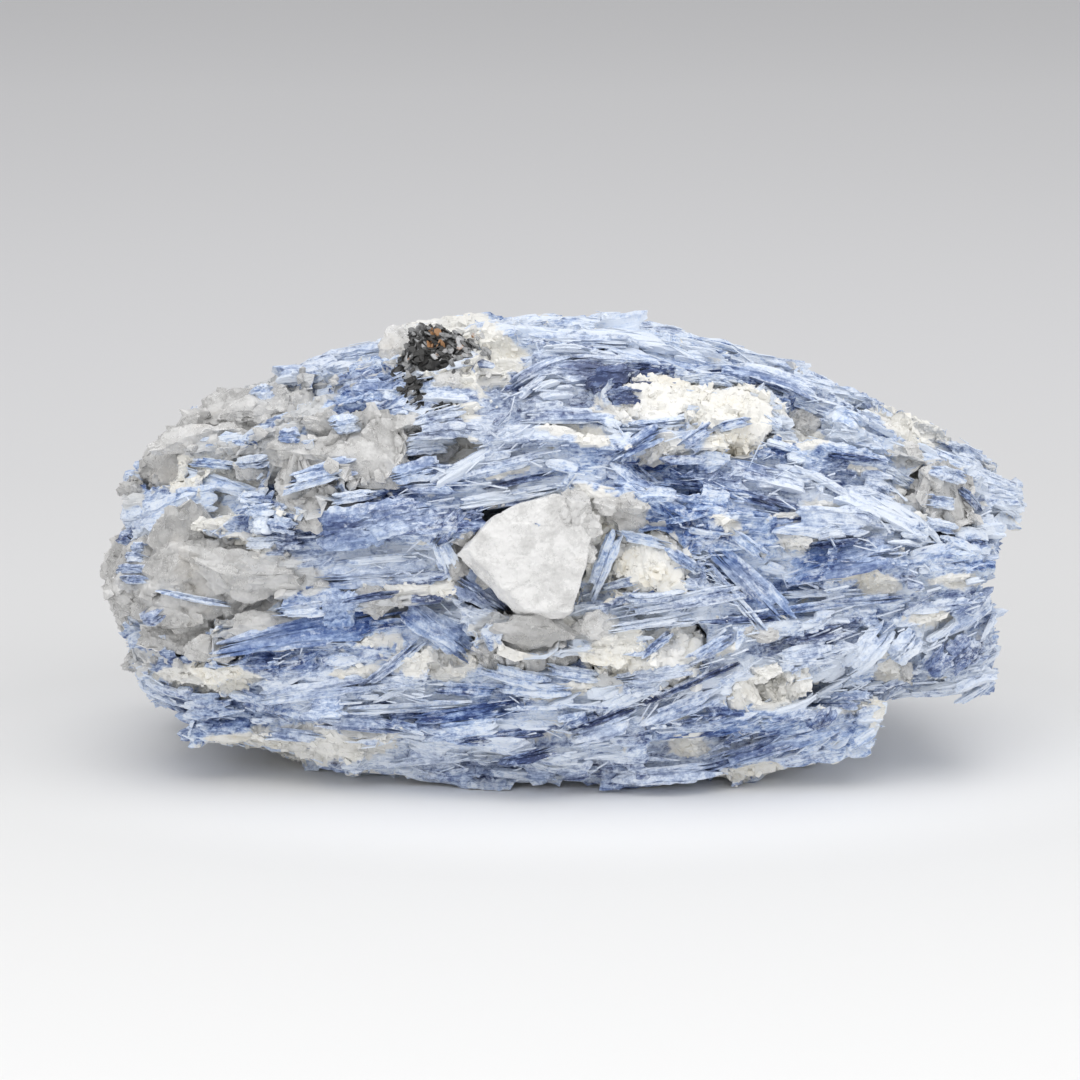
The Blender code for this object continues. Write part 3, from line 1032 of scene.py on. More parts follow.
crystal_bm = bmesh.new()
for u, v in CRYSTAL_OUTLINE:
    place = on_plane(u, v, CRYSTAL_MIDDLE, CRYSTAL_FACING)
    crystal_bm.verts.new(place)
    crystal_bm.verts.new(place + CRYSTAL_SHIFT - CRYSTAL_FACING * 2.6 * MM)
    deep = CRYSTAL_MIDDLE + (place - CRYSTAL_MIDDLE) * 0.95
    crystal_bm.verts.new(deep + CRYSTAL_SHIFT - CRYSTAL_FACING * CRYSTAL_DEPTH)
hull(crystal_bm)
flat = math.radians(4)
bmesh.ops.dissolve_limit(crystal_bm, angle_limit=flat, verts=crystal_bm.verts, edges=crystal_bm.edges)
bmesh.ops.bevel(
    crystal_bm, geom=crystal_bm.edges[:], offset=0.35 * MM, affect="EDGES", segments=1, profile=0.5,
    material=-1,
)
bmesh.ops.recalc_face_normals(crystal_bm, faces=crystal_bm.faces)
front_crystal = from_bmesh("front_crystal", crystal_bm)
modified(front_crystal, "REMESH", mode="VOXEL", voxel_size=CRYSTAL_VOXEL)
crystal_points = read(front_crystal.data)
dent, dent_size = CRYSTAL_DENTS
raised(front_crystal, relief(crystal_points, CRYSTAL_FACETS) + dent * field(crystal_points, dent_size, 40))
crystal_bed = broken("crystal_bed", ["quartz_crystal_front"], FACETS, CRYSTAL_BED)
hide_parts("quartz_crystal_front")
print("front crystal", len(front_crystal.data.polygons), "quads")

# %% [markdown]
# ## Larger grains
# Some grains of the quartz between the blades are as big as a pea, and each has a place of its own. A grain
# is one of the boulders, stretched to its size. Four rays feel the ground under it, and it leans as the
# ground does, with most of it sunk in the stone. Facets are broken into it last, in their true size. The
# mica's core is wrapped before them, because some of them lie against it.

# %% Larger grains
GRAINS = (  # name, u and v of the middle, width, height, proud, whiteness from 0 to 1
    ("below_crystal", -6.5, 35, 17, 8.5, 1.6, 0.2),
    ("white_beside_it", 6, 36, 9, 5.5, 2.2, 0.95),
    ("crystal_shoulder", 3, 62, 7, 6, 1.8, 0.8),
    ("crystal_shoulder_right", 11.5, 59, 10, 8, 1.2, 0.7),
    ("left_middle_big", -41.5, 71, 14.5, 10.5, 1.8, 0.6),
    ("left_middle_low", -56, 61.5, 15.5, 9, 1.4, 0.5),
    ("left_middle_up", -54, 74, 17, 6, 1.6, 0.6),
    ("left_middle_small", -67, 69.5, 7.5, 4.5, 1.4, 0.7),
    ("upper_left_first", -68.5, 83.5, 13.5, 6, 1.6, 0.8),
    ("upper_left_second", -81.5, 77, 16.5, 5.5, 1.6, 0.95),
    ("upper_left_third", -51.5, 80, 11, 5.5, 1.4, 0.7),
    ("left_dark", -85, 55, 13, 16, 1, 0.15),
    ("left_bright", -68.5, 47, 27.5, 9, 1.6, 0.6),
    ("left_low", -65, 35, 23, 6.5, 1.4, 0.6),
    ("left_low_small", -84.5, 38.5, 9.5, 5.5, 1.4, 0.5),
    ("low_left_gap", -86.5, 33, 14, 6.5, 0.8, 0.7),
    ("low_left_second", -77, 31, 9, 5, 0.8, 0.6),
    ("edge_first", -95.5, 44.5, 8.5, 5.5, 1, 0.4),
    ("edge_second", -95, 65.5, 5, 4.5, 1, 0.4),
    ("edge_third", -94, 28, 5, 5, 1, 0.5),
    ("grey_block", -39.5, 42, 11, 7.5, 1.2, 0.4),
    ("right_top", 51.5, 80.5, 6.5, 5, 1.2, 0.5),
    ("right_pale", 75.5, 73.5, 6, 5, 0.2, 0.9),
    ("right_brown", 79.5, 68, 6, 5, 0, 0.8),
    ("right_socket", 78, 62.5, 7, 5, -0.2, 0.9),
    ("low_right", 74.5, 26, 3, 5, 1.2, 0.6),
    ("middle_right", 43, 34.5, 6, 3, 1.2, 0.5),
    ("beside_mica", -38, 94.5, 7, 10, 1.6, 0.9),
    ("under_mica", -25, 90, 8, 5, 1.0, 0.9),
    ("left_middle_edge", -36, 80.5, 8, 4.5, 1.4, 0.8),
    ("left_middle_side", -40.5, 77, 7, 7, 1.4, 0.6),
    ("beside_left_middle", -30, 75.5, 11, 7, 2.8, 0.7),
    ("on_crystal_first", 1, 60.5, 5.5, 4, 0.6, 0.8),
    ("on_crystal_second", 5, 58, 5.5, 5, 1, 0.7),
    ("on_crystal_third", 4.5, 52.5, 4, 4.5, 0.4, 0.9),
    ("on_crystal_fourth", 8.5, 63, 6, 5, 1.4, 0.9),
    ("on_crystal_fifth", 9.5, 54.5, 6, 6, 1, 0.6),
    ("on_crystal_last", 15, 63, 6, 4, 1.2, 0.8),
    ("left_of_crystal", -23.5, 50, 7, 8, 1.2, 0.2),
    ("above_left_of_crystal", -21.5, 57, 6, 5, 1, 0.3),
)
GRAIN_FACETS = ((4.2 * MM, 0.15), (1.5 * MM, 0.14))
GRAIN_PROBES = ((-0.3, 0), (0.3, 0), (0, 0.3), (0, -0.3))  # where the ground is felt, in widths and heights
GRAIN_SUNK = 0.42  # the share of its depth that lies under the ground
GRAIN_OVERSIZE = 1.12  # the cuts leave a boulder smaller than the ball it came from
MICA_FACETS = ((2.5 * MM, 0.3), (1.0 * MM, 0.3))


def grains_at(rng, surface, rows):
    """Stamps for boulders given one by one, each turned to the front as far as the ground lets it."""
    made = []
    for _, u, v, width, height, proud, tone in rows:
        hits = [spot(u + du * width, v + dv * height, surface) for du, dv in GRAIN_PROBES]
        facing = unit(np.array([hit[1] for hit in hits]).mean(0) + 0.5 * np.array(view_back))
        places = np.array([hit[0] for hit in hits])
        middle = places.mean(0)
        middle += facing * max((places - middle) @ facing) * 0.6
        depth = (0.45 * min(width, height) + 2.5) * MM
        made.append({
            "middle": middle + facing * (proud * MM - GRAIN_SUNK * depth),
            "along": unit(np.array(view_right) + np.array(view_up) * rng.uniform(-0.15, 0.15)),
            "facing": facing,
            "size": (width * MM * GRAIN_OVERSIZE, height * MM * GRAIN_OVERSIZE, depth),
            "sag": 0.0,
            "tone": tone,
        })
    return stamps_of(made)


mica_core = broken("rough_mica", ["mica_book"], MICA_FACETS, 0.3 * MM)
grain_ground = bvh(skin, *rough_quartz, front_crystal, crystal_bed, mica_core)
quartz_grains = stamped("quartz_grains", BOULDERS, grains_at(np.random.default_rng(12), grain_ground, GRAINS))
raised(quartz_grains, relief(read(quartz_grains.data), GRAIN_FACETS))
quartz_grains.data.shade_smooth()
quartz_grains.data.set_sharp_from_angle(angle=SHARP_FROM)
quartz_stamps.append(chips_on(chip_rng, [quartz_grains], 260, 1, (0.8, 2.6), -0.38))
quartz_chips = stamped("quartz_chips", SHARDS, joined(quartz_stamps))

# %% [markdown]
# ## Feldspar
# The feldspar is a cream-white crust like damp sugar. Its lumps are broken as the quartz is, only finer,
# and thousands of crumbs lie on them, on the crusts between the blades and round the sockets of the grains.

# %% Feldspar
SUGAR_FACETS = ((3.2 * MM, 0.26), (1.3 * MM, 0.36), (0.7 * MM, 0.3))
sugar_lumps = [broken("rough_" + name, [name], SUGAR_FACETS, 1.3 * MM, 0.1 * MM) for name in FELDSPAR_NODES]
ground_pieces = [skin, *sugar_lumps]
lump_shares = [
    np.array(shares_at(read(made.data, "polygons", "center"), read(made.data, "polygons", "normal")))
    for made in sugar_lumps
]
ground_crust, ground_quartz = np.concatenate(([face_crust, face_quartz], *lump_shares), 1)
chip_rng = np.random.default_rng(9)
sugar_stamps = [
    chips_on(chip_rng, ground_pieces, 3900, ground_crust**2, (0.5, 1.8), 0.0),
    chips_on(chip_rng, [skin], 600, sugar_rims, (0.8, 2.4), 0.1),
    chips_on(chip_rng, ground_pieces, 5000, ground_crust**2 + 0.003, (0.3, 0.8), 0.2),
]
sugar_crumbs = stamped("feldspar_crumbs", CRUMBS, joined(sugar_stamps))

# %% Feldspar grains
SUGAR_GRAINS = (  # name, u and v of the middle, width, height, proud, how yellow from 0 to 1
    ("ring_middle", 45.5, 21.5, 9, 6, 0.4, 0.7),
    ("ring_left", 37.5, 21.5, 7, 9, 0.4, 0.2),
    ("ring_top", 43, 26, 9, 4, 0.8, 0.1),
    ("ring_right", 51, 24, 5, 6, 0.6, 0.2),
    ("low_middle_left", 9, 30, 9, 6, 0.8, 0.6),
    ("left_of_grey_quartz", -21, 30.5, 5, 7, 0.8, 0.3),
    ("under_grey_quartz", -10, 26.5, 6, 4, 0.6, 0.3),
    ("low_middle_right", 26.5, 33.5, 7, 5, 0.8, 0.3),
    ("below_swirl", 27, 10, 8, 5, 0.8, 0.7),
    ("upper_small", 21, 75, 10, 6, 0.8, 0.5),
    ("upper_right_small", 36, 76, 9, 5, 0.6, 0.6),
    ("right_middle", 51, 56, 8, 5, 0.6, 0.5),
)
sugar_rng = np.random.default_rng(13)
sugar_grains = stamped("feldspar_grains", BOULDERS, grains_at(sugar_rng, grain_ground, SUGAR_GRAINS))
raised(sugar_grains, relief(read(sugar_grains.data), SUGAR_FACETS))

# %% [markdown]
# ## Mica
# Mica grows as a book of thin black leaves. Leaves are cheap, so the book is made of real ones: a
# seven-sided disc with its outline pulled about, thickened to a quarter of a millimetre. Some lie loose all
# over the book's core, and the others are laid down in leaning packs. One small pack is stained orange.

# %% Mica
MICA_PACKS = (  # u and v of the middle, spread along and up, how many leaves, lean in degrees, their tones
    (-30.5, 98, 4.2, 4.5, 60, 24, (0.1, 0.94)),
    (-34.0, 88.5, 3.4, 3.8, 70, -30, (0.0, 0.85)),
    (-28.0, 82.5, 4.4, 1.8, 60, -40, (0.0, 0.75)),
    (-22.0, 97.5, 4.6, 4.4, 70, 40, (0.55, 0.94)),
    (-28.5, 98, 1.6, 3.4, 8, 78, (1.2, 1.3)),
)
LEAF_THICKNESS = 0.28  # in mm
LOOSE_TONE = 0.86  # the loose leaves stay out of the orange end of the colours


def leaf(rng):
    bm = bmesh.new()
    bmesh.ops.create_circle(bm, cap_ends=True, segments=7, radius=0.5)
    for vert in bm.verts:
        vert.co *= rng.uniform(0.6, 1.1)
    thick = bmesh.ops.extrude_face_region(bm, geom=bm.faces[:])
    top = [part for part in thick["geom"] if isinstance(part, bmesh.types.BMVert)]
    bmesh.ops.translate(bm, vec=(0, 0, 1), verts=top)
    bmesh.ops.translate(bm, vec=(0, 0, -0.5), verts=bm.verts)
    bmesh.ops.recalc_face_normals(bm, faces=bm.faces)
    return bm


def pack(rng, surface, middle_u, middle_v, spread_u, spread_v, number, lean, tones):
    """Stamps for one pack of leaves. Those that would fall behind the stone are left out."""
    made = []
    for _ in range(number):
        u, v = rng.normal((middle_u, middle_v), (0.5 * spread_u, 0.5 * spread_v))
        place, normal = spot(u, v, surface)
        if place.y > 0:
            continue
        leaning = math.radians(lean + rng.normal(0, 14))
        facing = Vector((math.sin(leaning), -0.45 + rng.normal(0, 0.3), math.cos(leaning)))
        made.append({
            "middle": place + normal * rng.uniform(0.0, 1.2) * MM,
            "along": unit(np.cross(facing, rng.normal(0, 1, 3))),
            "facing": facing,
            "size": np.array((rng.uniform(1.2, 3.6), rng.uniform(1.0, 2.4), LEAF_THICKNESS)) * MM,
            "sag": 0.0,
            "tone": rng.uniform(*tones),
        })
    return stamps_of(made)


mica_rng = np.random.default_rng(10)
LEAVES = [template(leaf(mica_rng)) for _ in range(10)]
core_tree = bvh(mica_core, skin)
packs = [pack(mica_rng, core_tree, *row) for row in MICA_PACKS]
loose = chips_on(mica_rng, [mica_core], 900, 1, (0.8, 2.8), 0.02, slant=0.7)
loose["size"][:, 2] = LEAF_THICKNESS * MM
loose["tone"] *= LOOSE_TONE
mica_leaves = stamped("mica_leaves", LEAVES, joined([*packs, loose]))

# %% [markdown]
# ## Named laths
# The blades that give the front its pattern are placed one by one. Each is given by its two ends as they
# are seen, its widths there and its tone. The ground under a lath is never flat, so the lath is bent as the
# ground is, and lifted until most of the ground along its middle lies under it.

# %% Named laths
NAMED_LATHS = (  # name, u and v of its two ends, widths there, tone, proud, all but the tone in mm
    ("top_slab_left", -56.5, 94, -38.5, 96, 5.2, 5.7, 0.24, 0.9),
    ("top_slab_under", -55.5, 87, -38.5, 88, 3.5, 5.2, 0.36, 1),
    ("top_slab_small", -68.5, 86.5, -60.5, 87, 3.1, 3.9, 0.3, 0.9),
    ("slab_upper_left", -66, 76.5, -55.5, 78, 2.6, 4.4, 0.44, 0.9),
    ("slab_upper_pale", -52, 80, -44.5, 81, 4.4, 4.8, 0.2, 1),
    ("wedge_upper_left", -63, 67.5, -45, 71.5, 1.7, 5.7, 0.52, 1),
    ("fibres_upper_left", -81.5, 74, -65, 73, 2.2, 3.1, 0.32, 1),
    ("feather_ledge", -90.5, 71, -67, 65, 4.8, 2.6, 0.1, 1.4),
    ("feather_ledge_upper", -89, 73, -71, 71, 2.6, 1.7, 0.22, 1.2),
    ("long_pale_left", -82.5, 61, -48.5, 69.5, 4.4, 2.2, 0.34, 1.5),
    ("ice_block_top", -77, 61, -63, 61.5, 2.6, 3.5, 0.14, 1.8),
    ("ice_block", -76, 57.5, -64, 58, 4.4, 4.4, 0.06, 1.6),
    ("ice_block_foot", -74.5, 54, -62, 54.5, 2.6, 2.6, 0.2, 1.3),
    ("ice_block_end", -65.5, 59, -58, 57.5, 3.5, 3.5, 0.46, 1.5),
    ("ice_block_end_low", -65, 54.5, -56.5, 55, 3.1, 3.9, 0.5, 1.2),
    ("big_block_left", -56.5, 56.5, -39, 59, 8.7, 10.5, 0.56, 1.6),
    ("big_block_right", -46.5, 57.5, -28, 62, 9.6, 6.6, 0.56, 1.4),
    ("block_ledge", -51.5, 63.5, -36, 65.5, 2.6, 2.2, 0.34, 1.4),
    ("streaky_row", -55, 46.5, -27.5, 48, 4.8, 5.7, 0.48, 1.2),
    ("streaky_row_pale", -51.5, 49.5, -29.5, 51.5, 1.7, 2.2, 0.2, 1.5),
    ("blue_block_left", -54, 39.5, -44.5, 40.5, 8.3, 7.9, 0.54, 1.9),
    ("blue_block_foot", -53, 34.5, -34, 37, 2.6, 2.2, 0.45, 1),
    ("thin_curved_left", -89.5, 44, -72.5, 40.5, 1.5, 1.7, 0.3, 1.2),
    ("grey_blade_left", -83.5, 37, -52, 40, 1.7, 3.9, 0.38, 1.1),
    ("rising_left", -88, 28.5, -30.5, 39.5, 3.0, 10, 0.64, 1.8),
    ("rising_left_dark", -82, 30.5, -36, 42.5, 0.7, 1.7, 0.92, 2.3),
    ("crossing_low_left", -46.5, 21.5, -30.5, 33.5, 1.7, 2.8, 0.5, 1.6),
    ("pale_low_left", -67.5, 20, -40.5, 24.5, 3.1, 4.4, 0.38, 1.4),
    ("pale_low_left_end", -44.5, 23.5, -28, 25, 3.1, 2.2, 0.3, 1.3),
    ("facet_right_of_rising", -32.5, 38.5, -20, 31.5, 5.2, 5.7, 0.56, 1.5),
    ("lilac_low_left", -51.5, 17.5, -19.5, 19, 1.7, 2.6, 0.12, 1.4),
    ("indigo_band_low", -49, 13.5, -8.5, 18.5, 2.2, 3.9, 0.8, 1.1),
    ("indigo_band_lower", -28, 10.5, 1, 14, 2.2, 2.6, 0.84, 0.9),
    ("grey_slab_bottom", -39.5, 7, -19, 9.5, 3.9, 4.8, 0.38, 1.2),
    ("slab_bottom_dark", -36, 3.5, -3.5, 8.5, 1.7, 3.1, 0.84, 0.9),
    ("dark_foot_left", -81, 18.5, -66, 16.5, 3.9, 3.5, 0.46, 0.4),
    ("dark_foot_left_low", -77, 13.5, -51.5, 11.5, 3.1, 2.6, 0.46, 0.4),
    ("edge_stub_top", -99.5, 53, -91, 53.4, 2.4, 2.2, 0.5, 0.4),
    ("edge_stub_second", -99.5, 50.6, -91.5, 50.9, 2.2, 2, 0.3, 0.6),
    ("edge_stub_third", -99, 48.3, -90.5, 48.6, 2.2, 2, 0.55, 0.4),
    ("edge_stub_last", -97.5, 46, -90, 46.1, 2, 2, 0.42, 0.5),
    ("edge_low", -96.5, 38, -88.5, 38.5, 3.1, 3.1, 0.42, 0.9),
    ("lens_left_middle", -39, 68.5, -24.5, 72, 3.5, 5.7, 0.52, 1.2),
    ("lens_left_middle_low", -37, 65.5, -20.5, 66, 1.7, 3.1, 0.6, 1),
    ("above_lens_left", -36, 74.5, -22, 75.5, 3.6, 4, 0.16, 2.8),
    ("above_lens_left_second", -35, 77.5, -21, 79, 3.4, 3.6, 0.3, 2.4),
    ("above_lens_left_third", -33, 80.5, -20, 83.5, 2.6, 3, 0.2, 2.0),
    ("cream_rim_left", 6, 44, 17, 46.5, 1.6, 2.2, 0.24, 1.0),
    ("cream_rim_low", 12, 42.5, 27, 43.5, 2.2, 2.4, 0.34, 1.4),
    ("cream_rim_right", 21, 53.5, 31, 47, 2.4, 2.6, 0.4, 1.4),
    ("cream_rim_top", 10.5, 56.5, 23.5, 53.5, 2.4, 2.2, 0.2, 1.2),
    ("low_cream_rim_top", 13, 36.5, 29, 38, 1.8, 2.2, 0.2, 1.2),
    ("low_cream_rim_low", 10, 24, 30, 27.5, 3, 3.4, 0.3, 1.2),
    ("low_cream_rim_right", 26, 28, 37, 34, 2.6, 3, 0.44, 1.4),
    ("upper_cream_rim_low", 12, 79.5, 27, 81, 2, 2.2, 0.3, 1.2),
    ("upper_cream_rim_right", 33, 79, 45, 81.5, 2.4, 2, 0.34, 1.3),
    ("upper_cream_rim_top", 24, 90.5, 42, 88.5, 2.2, 2.4, 0.3, 1.2),
    ("flake_under_first", -19, 27.5, -3, 23.5, 3.4, 3.8, 0.3, 1.4),
    ("flake_under_second", -15, 23.5, 2, 22, 3.2, 3.4, 0.22, 1.3),
    ("flake_under_third", -6, 27, 8, 25, 3, 3, 0.26, 1.4),
    ("flake_under_last", -30, 23, -12, 22, 2.6, 3, 0.4, 1.2),
    ("ledge_curve_upper", -23.5, 68, -1, 74, 3.1, 2.6, 0.3, 1.3),
    # A crevice lath is a thin strip of the darkest indigo laid along a crevice: painted shade.
    ("crevice_curve", -18.5, 65.5, -2, 69.5, 1.3, 1.3, 0.98, 0.9),
    ("ledge_curve_lower", -24, 62.5, -1, 66.5, 2.8, 2.6, 0.14, 1.4),
    ("steep_left_of_crystal", -30, 52, -21.5, 62.5, 3.9, 3.1, 0.62, 1.3),
    ("steep_pale_left", -28, 55.5, -24, 48, 3.6, 4.2, 0.14, 0.8),
    ("triangle_dark", -25.5, 47, -12.5, 38, 7.4, 4.4, 0.7, 0.9),
    ("broad_down", -37.5, 42, -19, 28.5, 6.6, 4.8, 0.58, 1.6),
    ("band_left_middle", -42, 46, -24.5, 47, 2, 2.2, 0.6, 1),
    ("steep_pale_right", 4.5, 41, 11.5, 57.5, 3.1, 3.9, 0.22, 1.6),
    ("shard", 16.5, 29, 24, 35, 2, 2.2, 0.6, 1.8),
    ("sweep_upper", 8, 38, 40, 44, 2.6, 3.9, 0.2, 1.3),
    ("sweep_lower", 7.5, 35, 31.5, 39, 1.7, 2.2, 0.12, 1.5),
    ("deep_top", 3.5, 88.5, 20, 90.5, 5.5, 7.5, 1.0, 1.2),
    ("deep_top_low", -1, 85, 17, 86.5, 3.4, 4, 0.9, 1.1),
    ("top_long_slab", -9.5, 99, 16.5, 98, 3.1, 3.1, 0.24, 0.9),
    ("top_long_slab_low", -1, 94.5, 29.5, 93, 2.6, 3.1, 0.4, 0.9),
    ("top_white_streak", -7.5, 96.5, 12, 96, 1.7, 1.7, 0.05, 1.1),
    ("lens_upper_middle", 10.5, 73, 22.5, 79.5, 2.6, 4.8, 0.66, 1.1),
    ("lens_beside_cream", 25, 75, 33, 80, 2.6, 3.1, 0.62, 1),
    ("deep_streak_right", 31, 67, 51.5, 61, 2.2, 2.6, 0.86, 1),
    ("deep_streak_right_up", 16.5, 68.5, 34.5, 66, 1.7, 2.2, 0.74, 1),
    ("pale_broad_right", 55, 83, 74, 75.5, 5.2, 4.4, 0.1, 1.3),
    ("pale_broad_right_up", 45, 87.5, 66, 81, 3.5, 3.5, 0.26, 1.2),
    # The two crevice laths are thin strips of the darkest indigo laid along crevices: painted shade.
    ("crevice_right", 56.5, 74, 71, 72, 1.7, 1.3, 0.95, 0.9),
    ("crevice_right_low", 60.5, 65, 76.5, 61.5, 1.3, 1.3, 0.92, 0.9),
    ("pale_over_lens", 54, 55.5, 73.5, 57.5, 2.2, 2.6, 0.24, 1.2),
    ("lens_right", 48, 47.5, 73.5, 53, 6.6, 8.7, 0.62, 1.5),
    ("lens_right_dark", 51.5, 53.5, 67, 55.5, 1.7, 1.7, 0.86, 1.9),
    ("fan_long", 30, 56, 50, 37, 4, 6, 0.44, 1.2),
    ("fan_low", 28.5, 52.5, 44, 34.5, 1.8, 2.2, 0.3, 0.9),
    ("fan_high", 36, 57, 53, 44.5, 2.6, 3, 0.34, 0.9),
    ("socket_left", 69, 71, 77, 66, 2.6, 2.8, 0.3, 1.4),
    ("socket_low", 77, 59.5, 91, 56.5, 2.6, 2.6, 0.34, 1.2),
    ("tip_upper", 80, 70, 99, 64, 3.5, 3.1, 0.3, 0.8),
    ("tip_lower", 78.5, 63.5, 95.5, 60.5, 3.1, 2.6, 0.36, 0.7),
    ("deep_at_tip", 86, 66.5, 90.5, 60.5, 2, 2, 0.82, 1.1),
    ("streak_low_right_left", 28.5, 37, 50, 38.5, 1.5, 1.7, 0.82, 1.1),
    ("streak_low_right", 44.5, 31.5, 64, 36.5, 2.2, 3.5, 0.86, 1.3),
    ("streak_low_right_up", 42, 39, 74, 43, 1.7, 2.2, 0.5, 1.3),
    ("pale_under_lens", 42.5, 42.5, 66.5, 44, 1.7, 1.7, 0.2, 1.4),
    ("block_facet", 60, 25, 70.5, 36, 4.8, 6.6, 0.12, 1.2),
    ("block_facet_pale", 70, 28.5, 76.5, 34, 5.7, 5.7, 0.2, 1.2),
    ("block_facet_blue", 76.5, 23.5, 84.5, 31.5, 4.8, 6.6, 0.6, 1.1),
    ("block_base", 53, 20, 88.5, 20, 3.9, 4.4, 0.48, 1.5),
    ("striated_end", 83, 27.5, 91, 34.5, 7.4, 5.7, 0.66, 0.6),
    ("tongue_upper", 7, 2.5, 35, 4.5, 3.9, 4.4, 0.26, 1.1),
    ("tongue_right", 28.5, 4.5, 60, 14.5, 3.9, 4.4, 0.5, 1.1),
    ("slab_low", -2.5, 10.5, 17.5, 17, 4.4, 5.2, 0.32, 1.4),
    ("slab_low_right", 15.5, 14.5, 35, 22.5, 3.5, 4.4, 0.36, 1.4),
    # The two crevice laths are thin strips of the darkest indigo laid along crevices: painted shade.
    ("long_crevice", -2, 12, 17, 19, 1.3, 1.3, 0.98, 0.9),
    ("long_crevice_right", 15, 18.5, 39, 28.5, 1.3, 1.3, 0.98, 0.9),
    ("slate_right", 46, 12, 59, 17.5, 3.5, 3.9, 0.7, 1),
)
STAND_MOST = 2.6 * MM  # a lath whose end would stand further off the ground than this is made shorter
NAMED_BEND = (-0.20, 0.05)  # how far a lath may bend down and up, in its lengths
NAMED_UNDER = 70  # this many hundredths of the ground along a lath lie under it
CALM_WIDTHS = (1.5, 5.5)  # from and to which width, in mm, a lath gets calmer


def laid(surface, rows):
    """Stamps for laths between two spots each, bent with the ground and lifted clear of it."""
    made = []
    for _, u_start, v_start, u_end, v_end, width_start, width_end, tone, proud in rows:
        width = (width_start + width_end) / 2
        shares = np.linspace(0, 1, 11)
        spots = ((u_start + (u_end - u_start) * t, v_start + (v_end - v_start) * t) for t in shares)
        hits = [spot(u, v, surface) for u, v in spots]
        places, tilts = (np.array([hit[i] for hit in hits]) for i in (0, 1))
        while True:
            shares = np.linspace(-1, 1, len(places))
            facing = unit(tilts.mean(0) + 0.8 * np.array(view_back))
            run = np.polyfit(shares, places, 1)[0]
            along = unit(run - 0.25 * facing * (run @ facing))
            length = np.linalg.norm(places[-1] - places[0])
            middle = places.mean(0)
            heights = (places - middle) @ facing
            sag = np.clip(np.polyfit(shares, heights, 2)[0], NAMED_BEND[0] * length, NAMED_BEND[1] * length)
            left = heights - sag * shares**2
            above = np.percentile(left, NAMED_UNDER)
            gaps = above - left[[0, -1]]
            if gaps.max() < STAND_MOST or len(places) < 6:
                break
            keep = slice(1, None) if gaps[0] > gaps[1] else slice(None, -1)
            places, tilts = places[keep], tilts[keep]
        thickness = 0.22 * width * MM + 1.6 * MM
        made.append({
            "middle": middle + facing * (above + (proud + 0.5) * MM - thickness / 2),
            "along": along,
            "facing": facing,
            "size": (length, width * MM, thickness),
            "sag": sag,
            "wedge": (width_end - width_start) / width,
            "tone": tone,
            "calm": float(smoothstep(width, *CALM_WIDTHS)),
        })
    return stamps_of(made)


ground = bvh(skin, *rough_quartz, quartz_grains, *sugar_lumps, sugar_grains, front_crystal)
named_laths = stamped("named_laths", LATHS["slab"], laid(ground, NAMED_LATHS))
attribute(named_laths, "sheaf", straighten(read(named_laths.data)))
print(len(NAMED_LATHS), "laths placed by hand")

# %% [markdown]
# ## Laths all over
# Seeds fall evenly on the skin. At the two ends the flow points straight out of the stone, and there the
# laths stand out as broken stubs. Everywhere else they lie down, each a little rolled, swung and tipped.
# Those that would run over a grain, a crust or a named lath are left out.

# %% Laths all over
SCATTER = (  # name, kind, how many, length, width, thickness, swing, roll, tip in degrees, proud share
    ("broad_laths", "broad", 900, (9, 25), (3.0, 7.5), (1.4, 2.4), 9, 7, 1.2, 0.06),
    ("narrow_laths", "narrow", 3200, (5, 17), (1.0, 3.2), (0.9, 1.8), 13, 14, 1.6, 0.08),
    ("splinters", "splinter", 5600, (2, 8), (0.25, 0.7), (0.35, 0.7), 22, 40, 3.0, 0.36),
)
TURNS = (  # u, v, half length, half height, turn of the patch, turn of its blades in degrees, up to the right
    (14, 66, 16, 10, -40, -24),
    (39, 47, 8, 8, 0, -34),
    (20, 37, 20, 8, 10, 18),
    (18, 22, 22, 8, 20, 22),
    (44, 12, 18, 9, 25, 24),
    (-58, 32, 30, 9, 8, 12),
    (-78, 69, 11, 6, -20, -22),
    (-10, 74, 12, 7, 15, 16),
    (-10, 88, 7, 10, 0, 52),
    (-28, 36, 7, 9, 0, -36),
    (-26, 50, 6, 8, 0, 30),
    (86, 28, 9, 12, 0, 15),
    (62, 60, 24, 10, -14, -8),
)
BARE = 0.55  # no lath reaches into a crust or a lump whose share is above this
NAMED_CLEAR = 0.9 * MM  # no lath but a splinter comes this near to a named one
GRAIN_CLEAR = (1.2 * MM, 0.8 * MM)  # a lath's middle, and the rest of it, keep this far from every grain
END_OUT = 0.55  # where the flow points out of the skin by more than this, laths stand out as stubs
STUB_MOST = 13 * MM  # the longest stub
STUB_SUNK = 0.34  # the share of its length by which a stub's middle lies under the skin
BEND = (-0.15, 0.06)  # how far a lath may bend down and up, in its lengths
GAP_MOST = 1.6 * MM  # how far a lath's ends may be from the body, or from where they should be on it
BASE_CLEAR = 2.5 * MM  # no lath lies on the resting face
GRAIN_NODES = [*QUARTZ_NODES, "quartz_crystal_front", "mica_book"]


def turned(vectors, axes, angles):
    """The vectors turned about the axes, by one angle each."""
    c, s = np.cos(angles)[:, None], np.sin(angles)[:, None]
    along_axes = axes * (vectors * axes).sum(1, keepdims=True) * (1 - c)
    return vectors * c + np.cross(axes, vectors) * s + along_axes


